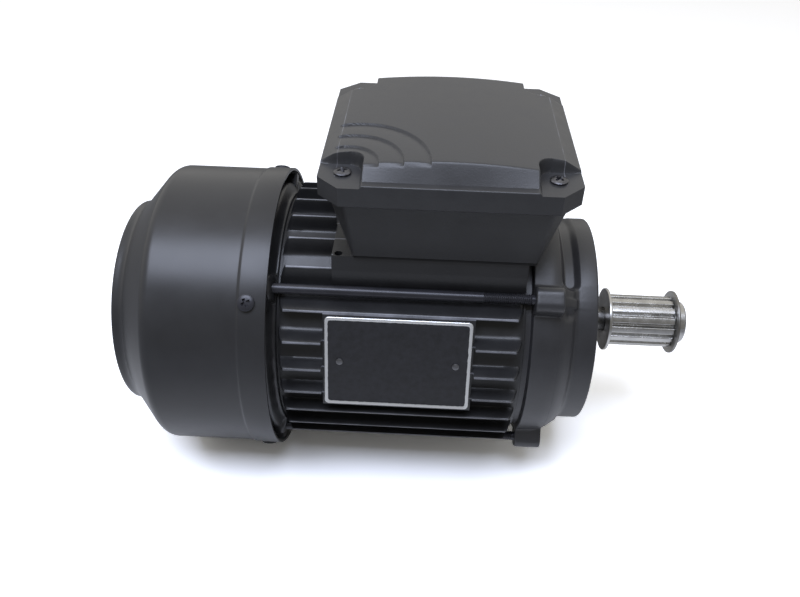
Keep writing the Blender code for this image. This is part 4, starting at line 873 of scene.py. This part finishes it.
pulley = dict(rear=12.0, cover=0.55, teeth=(13.4, 41.2), front=47.0, count=15,
              flanks=(0.20, 0.31, 0.89, 1.00), tip=11.5, root=9.7, toothRound=0.45, hub=9.2,
              hubEdge=(0.3, 0.6), bore=5.7, boreEdge=0.5, keyHalf=2.15, keyTop=7.4, keyFrom=2.0, sharp=34.0)
pulleyFlange = dict(radius=14.1, inner=9.35, thick=1.25, ledge=1.4, coverThick=0.5, coverBore=5.55, bend=0.35,
                    bright=0.3, outerGap=1.75, around=96)
shaft = dict(outline=[(-172.0, 0), (-172.0, 5.6), (-170.6, 5.6), (-170.6, 5.0), (-169.2, 5.0), (-169.2, 5.6),
                      (-143.0, 5.6), (-143.0, 6.0), (-126.6, 6.0), (-126.6, 7.8), (-17.0, 7.8), (-17.0, 6.0),
                      (-4.0, 6.0), (-4.0, 5.5), (45.0, 5.5), (45.0, 2.1), (42.6, 0.9), (40.0, 0.9),
                      (40.0, 0)],
             bends=[0, 0.6] + [0.1] * 7 + [0.2] * 2 + [0.1] * 3 + [0.7] + [0.1] * 3 + [0], around=64)


def buildPulley(p):
    # tooth outline carried along x between the flanges; the bore goes back through the middle with its keyway
    angle = (2 * np.pi / p["count"] * (np.arange(p["count"])[:, None] + p["flanks"])).ravel()
    radius = np.tile([p["root"], p["tip"], p["tip"], p["root"]], p["count"])
    corners = np.column_stack([-radius * np.cos(angle), radius * np.sin(angle)])
    outline = rounded(corners, p["toothRound"], 5, True)
    unit = outline / np.linalg.norm(outline, axis=1)[:, None]
    inKey = np.abs(unit[:, 0]) * p["keyTop"] < p["keyHalf"] * unit[:, 1]
    bore = unit * np.where(inKey, p["keyTop"] / unit[:, 1], p["bore"])[:, None]
    plain, hub = unit * p["bore"], unit * p["hub"]
    rearEdge, frontEdge = p["hubEdge"]
    t0, t1 = p["teeth"]
    back, front, keyFrom = p["rear"] + p["cover"], p["front"], p["rear"] + p["keyFrom"]
    loops = [(back, hub - unit * rearEdge), (back + rearEdge, hub), (t0, hub), (t0, outline), (t1, outline),
             (t1, hub), (front - frontEdge, hub), (front, hub - unit * frontEdge),
             (front, bore + unit * p["boreEdge"]), (front - p["boreEdge"], bore), (keyFrom, bore),
             (keyFrom, plain), (back, plain)]
    points = np.stack([np.column_stack([np.full(len(flat), x), flat]) for x, flat in loops])
    thing = addMesh("toothed_pulley", [(points, tubeFaces(points))])
    settle(thing, ["pulley"], turnedSteel, "rotor", p["sharp"])


def buildFlanges(f, p):
    # turned rings; the inner one goes on behind the hub, down to the bore, and its rim carries a painted
    # highlight
    ring = [(0, f["inner"]), (0, f["radius"]), (f["thick"], f["radius"]), (f["thick"], p["tip"] + 1.0),
            (f["ledge"], p["tip"]), (f["ledge"], f["inner"])]
    cover = ring[1:] + [(f["coverThick"], f["inner"]), (f["coverThick"], f["coverBore"]), (0, f["coverBore"]),
                        (0, f["radius"] - 2 * f["bright"])]
    outerX = p["teeth"][1] + f["outerGap"]
    for name, node, shape, x, way, finish in (
            ("inner_flange", "pulley_flange_inner", cover, p["rear"], 1, shadedZincLitRim),
            ("outer_flange", "pulley_flange_outer", ring, outerX, -1, zincSteel)):
        profile = rounded(np.array(shape) * (way, 1) + (x, 0), f["bend"], 4, True)
        # painted highlight: the outermost band of each ring is marked; only the inner ring's finish shows it
        bright = np.repeat((profile[:, 1] > f["radius"] - f["bright"]).astype(float), f["around"])
        thing = addMesh(name, [turnedPart(profile, f["around"])], bright)
        settle(thing, [node], finish, "rotor")


def buildShaft(s):
    # stepped bar turned about the axis, with a centre hole in the drive end
    thing = addMesh("turned_shaft", [turnedPart(rounded(s["outline"], s["bends"], 4), s["around"], False)])
    settle(thing, ["shaft"], turnedSteel, "rotor")


buildPulley(pulley)
buildFlanges(pulleyFlange, pulley)
buildShaft(shaft)


# Finishes of the CAD nodes that stay, by how their names start

nodeFinish = dict(stator_core=laminatedSteel, rotor_core=laminatedSteel, winding=varnishedCopper,
                  bearing=groundSteel, ball_set=groundSteel, wave_spring=groundSteel, shaft_seal=nitrile,
                  shaft_key=groundSteel, rotor_end_ring=bareCasting, cooling_fan=fanPlastic,
                  fan_circlip=blackOxide, lid_gasket=nitrile, box_gasket=nitrile, box_screw=zincSteel,
                  terminal_board=phenolic, terminal_stud=turnedBrass, terminal_link=turnedBrass,
                  earth_screw=zincSteel, cable_entry_plug=mouldedPolyamide)
for name, node in frame["nodes"].items():
    if not node.hide_render:
        match = [finish for key, finish in nodeFinish.items() if name.startswith(key)]
        node.data.materials.clear()
        node.data.materials.append(match[0])
        print("node:", name, match[0].name)


# Floor, light and camera

# floor: brightness to scattered, mirrored and camera rays; fade and sky: start, end and brightness at both
studio = dict(reach=30.0, floor=(0.38, 0.85, 1.15), fade=(0.08, 0.32, 1.0, 0.33), skyColour="#fffdf8",
              skyWay=(-0.15, 0.9, 0.3), sky=(-0.6, 0.6, 0.25, 0.85), keySize=(1.0, 0.72),
              keyPower=15.2, keyAt=(-0.2, -0.42, 1.07), keyColour=(0.87, 0.95, 1.18))


def buildFloor(s):
    far = s["reach"]
    mesh = bpy.data.meshes.new("floor")
    mesh.from_pydata([(-far, -far, 0), (far, -far, 0), (far, far, 0), (-far, far, 0)], [], [(0, 1, 2, 3)])
    floor = bpy.data.objects.new("floor", mesh)
    bpy.context.scene.collection.objects.link(floor)
    # white paper: grey to scattered light, near white in mirrors, over-exposed to the eye, shadow kept
    paper = bpy.data.materials.new("matt white paper")
    paper.use_nodes = True
    tree = paper.node_tree
    tree.nodes.remove(tree.nodes["Principled BSDF"])
    rays = addNode(tree, "LightPath", {}).outputs
    scattered, mirrored, seen = s["floor"]
    place = addNode(tree, "TexCoord", {}).outputs["Object"]
    away = addNode(tree, "VectorMath", {0: place}, operation="LENGTH").outputs["Value"]
    fade = ranged(tree, away, *s["fade"], "SMOOTHSTEP")
    glossy = addNode(tree, "Math", {0: rays["Is Glossy Ray"], 1: rays["Is Transmission Ray"]},
                     operation="MAXIMUM")
    level = addNode(tree, "Math", {0: glossy.outputs[0], 1: mirrored - scattered, 2: scattered},
                    operation="MULTIPLY_ADD")
    level = addNode(tree, "Math", {0: level.outputs[0], 1: fade}, operation="MULTIPLY")
    level = addNode(tree, "Math", {0: rays["Is Camera Ray"], 1: seen, 2: level.outputs[0]},
                    operation="MULTIPLY_ADD")
    sheet = addNode(tree, "BsdfDiffuse", {"Color": level.outputs[0]})
    tree.links.new(sheet.outputs[0], tree.nodes["Material Output"].inputs["Surface"])
    mesh.materials.append(paper)


def buildLight(s):
    # sky brighter above and behind the motor than in front of it, and one softbox over the near side
    world = bpy.data.worlds.new("studio")
    bpy.context.scene.world = world
    world.use_nodes = True
    tree = world.node_tree
    sky = tree.nodes["Background"]
    sky.inputs["Color"].default_value = linear(s["skyColour"])
    looking = addNode(tree, "TexCoord", {}).outputs["Generated"]
    way = addNode(tree, "VectorMath", {0: looking, 1: s["skyWay"]}, operation="DOT_PRODUCT").outputs["Value"]
    tree.links.new(ranged(tree, way, *s["sky"], "SMOOTHSTEP"), sky.inputs["Strength"])
    lamp = bpy.data.lights.new("softbox", "AREA")
    lamp.shape = "RECTANGLE"
    lamp.size, lamp.size_y = s["keySize"]
    lamp.energy = s["keyPower"]
    lamp.color = s["keyColour"]
    key = bpy.data.objects.new("softbox", lamp)
    key.location = s["keyAt"]
    key.rotation_euler = (math.atan2(s["keyAt"][1], s["keyAt"][2]), 0, 0)
    bpy.context.scene.collection.objects.link(key)


# the photograph's angle: yaw, height and roll in degrees, focal length in pixels of a frame this wide
view = dict(yaw=1.91, height=37.65, roll=1.38, at=(0.0036, -0.27958, 0.28463), focal=777.14, wide=800,
            sensor=36.0, clip=(0.01, 100.0))


def buildCamera(c):
    a, e, roll = (math.radians(c[key]) for key in ("yaw", "height", "roll"))
    back = np.array([math.sin(a) * math.cos(e), -math.cos(a) * math.cos(e), math.sin(e)])
    right = np.cross(-back, (0, 0, 1))
    right /= np.linalg.norm(right)
    up = np.cross(back, right)
    across = right * math.cos(roll) + up * math.sin(roll)
    upward = up * math.cos(roll) - right * math.sin(roll)
    lens = bpy.data.cameras.new("camera")
    lens.sensor_width = c["sensor"]
    lens.lens = c["focal"] / c["wide"] * c["sensor"]
    lens.clip_start, lens.clip_end = c["clip"]
    camera = bpy.data.objects.new("camera", lens)
    rows = np.column_stack([across, upward, back, c["at"]]).tolist()
    camera.matrix_world = Matrix(rows + [[0, 0, 0, 1]])
    bpy.context.scene.collection.objects.link(camera)
    bpy.context.scene.camera = camera


buildFloor(studio)
buildLight(studio)
buildCamera(view)
bpy.context.scene.view_settings.view_transform = "Standard"
print("studio: floor, sky, softbox and camera")
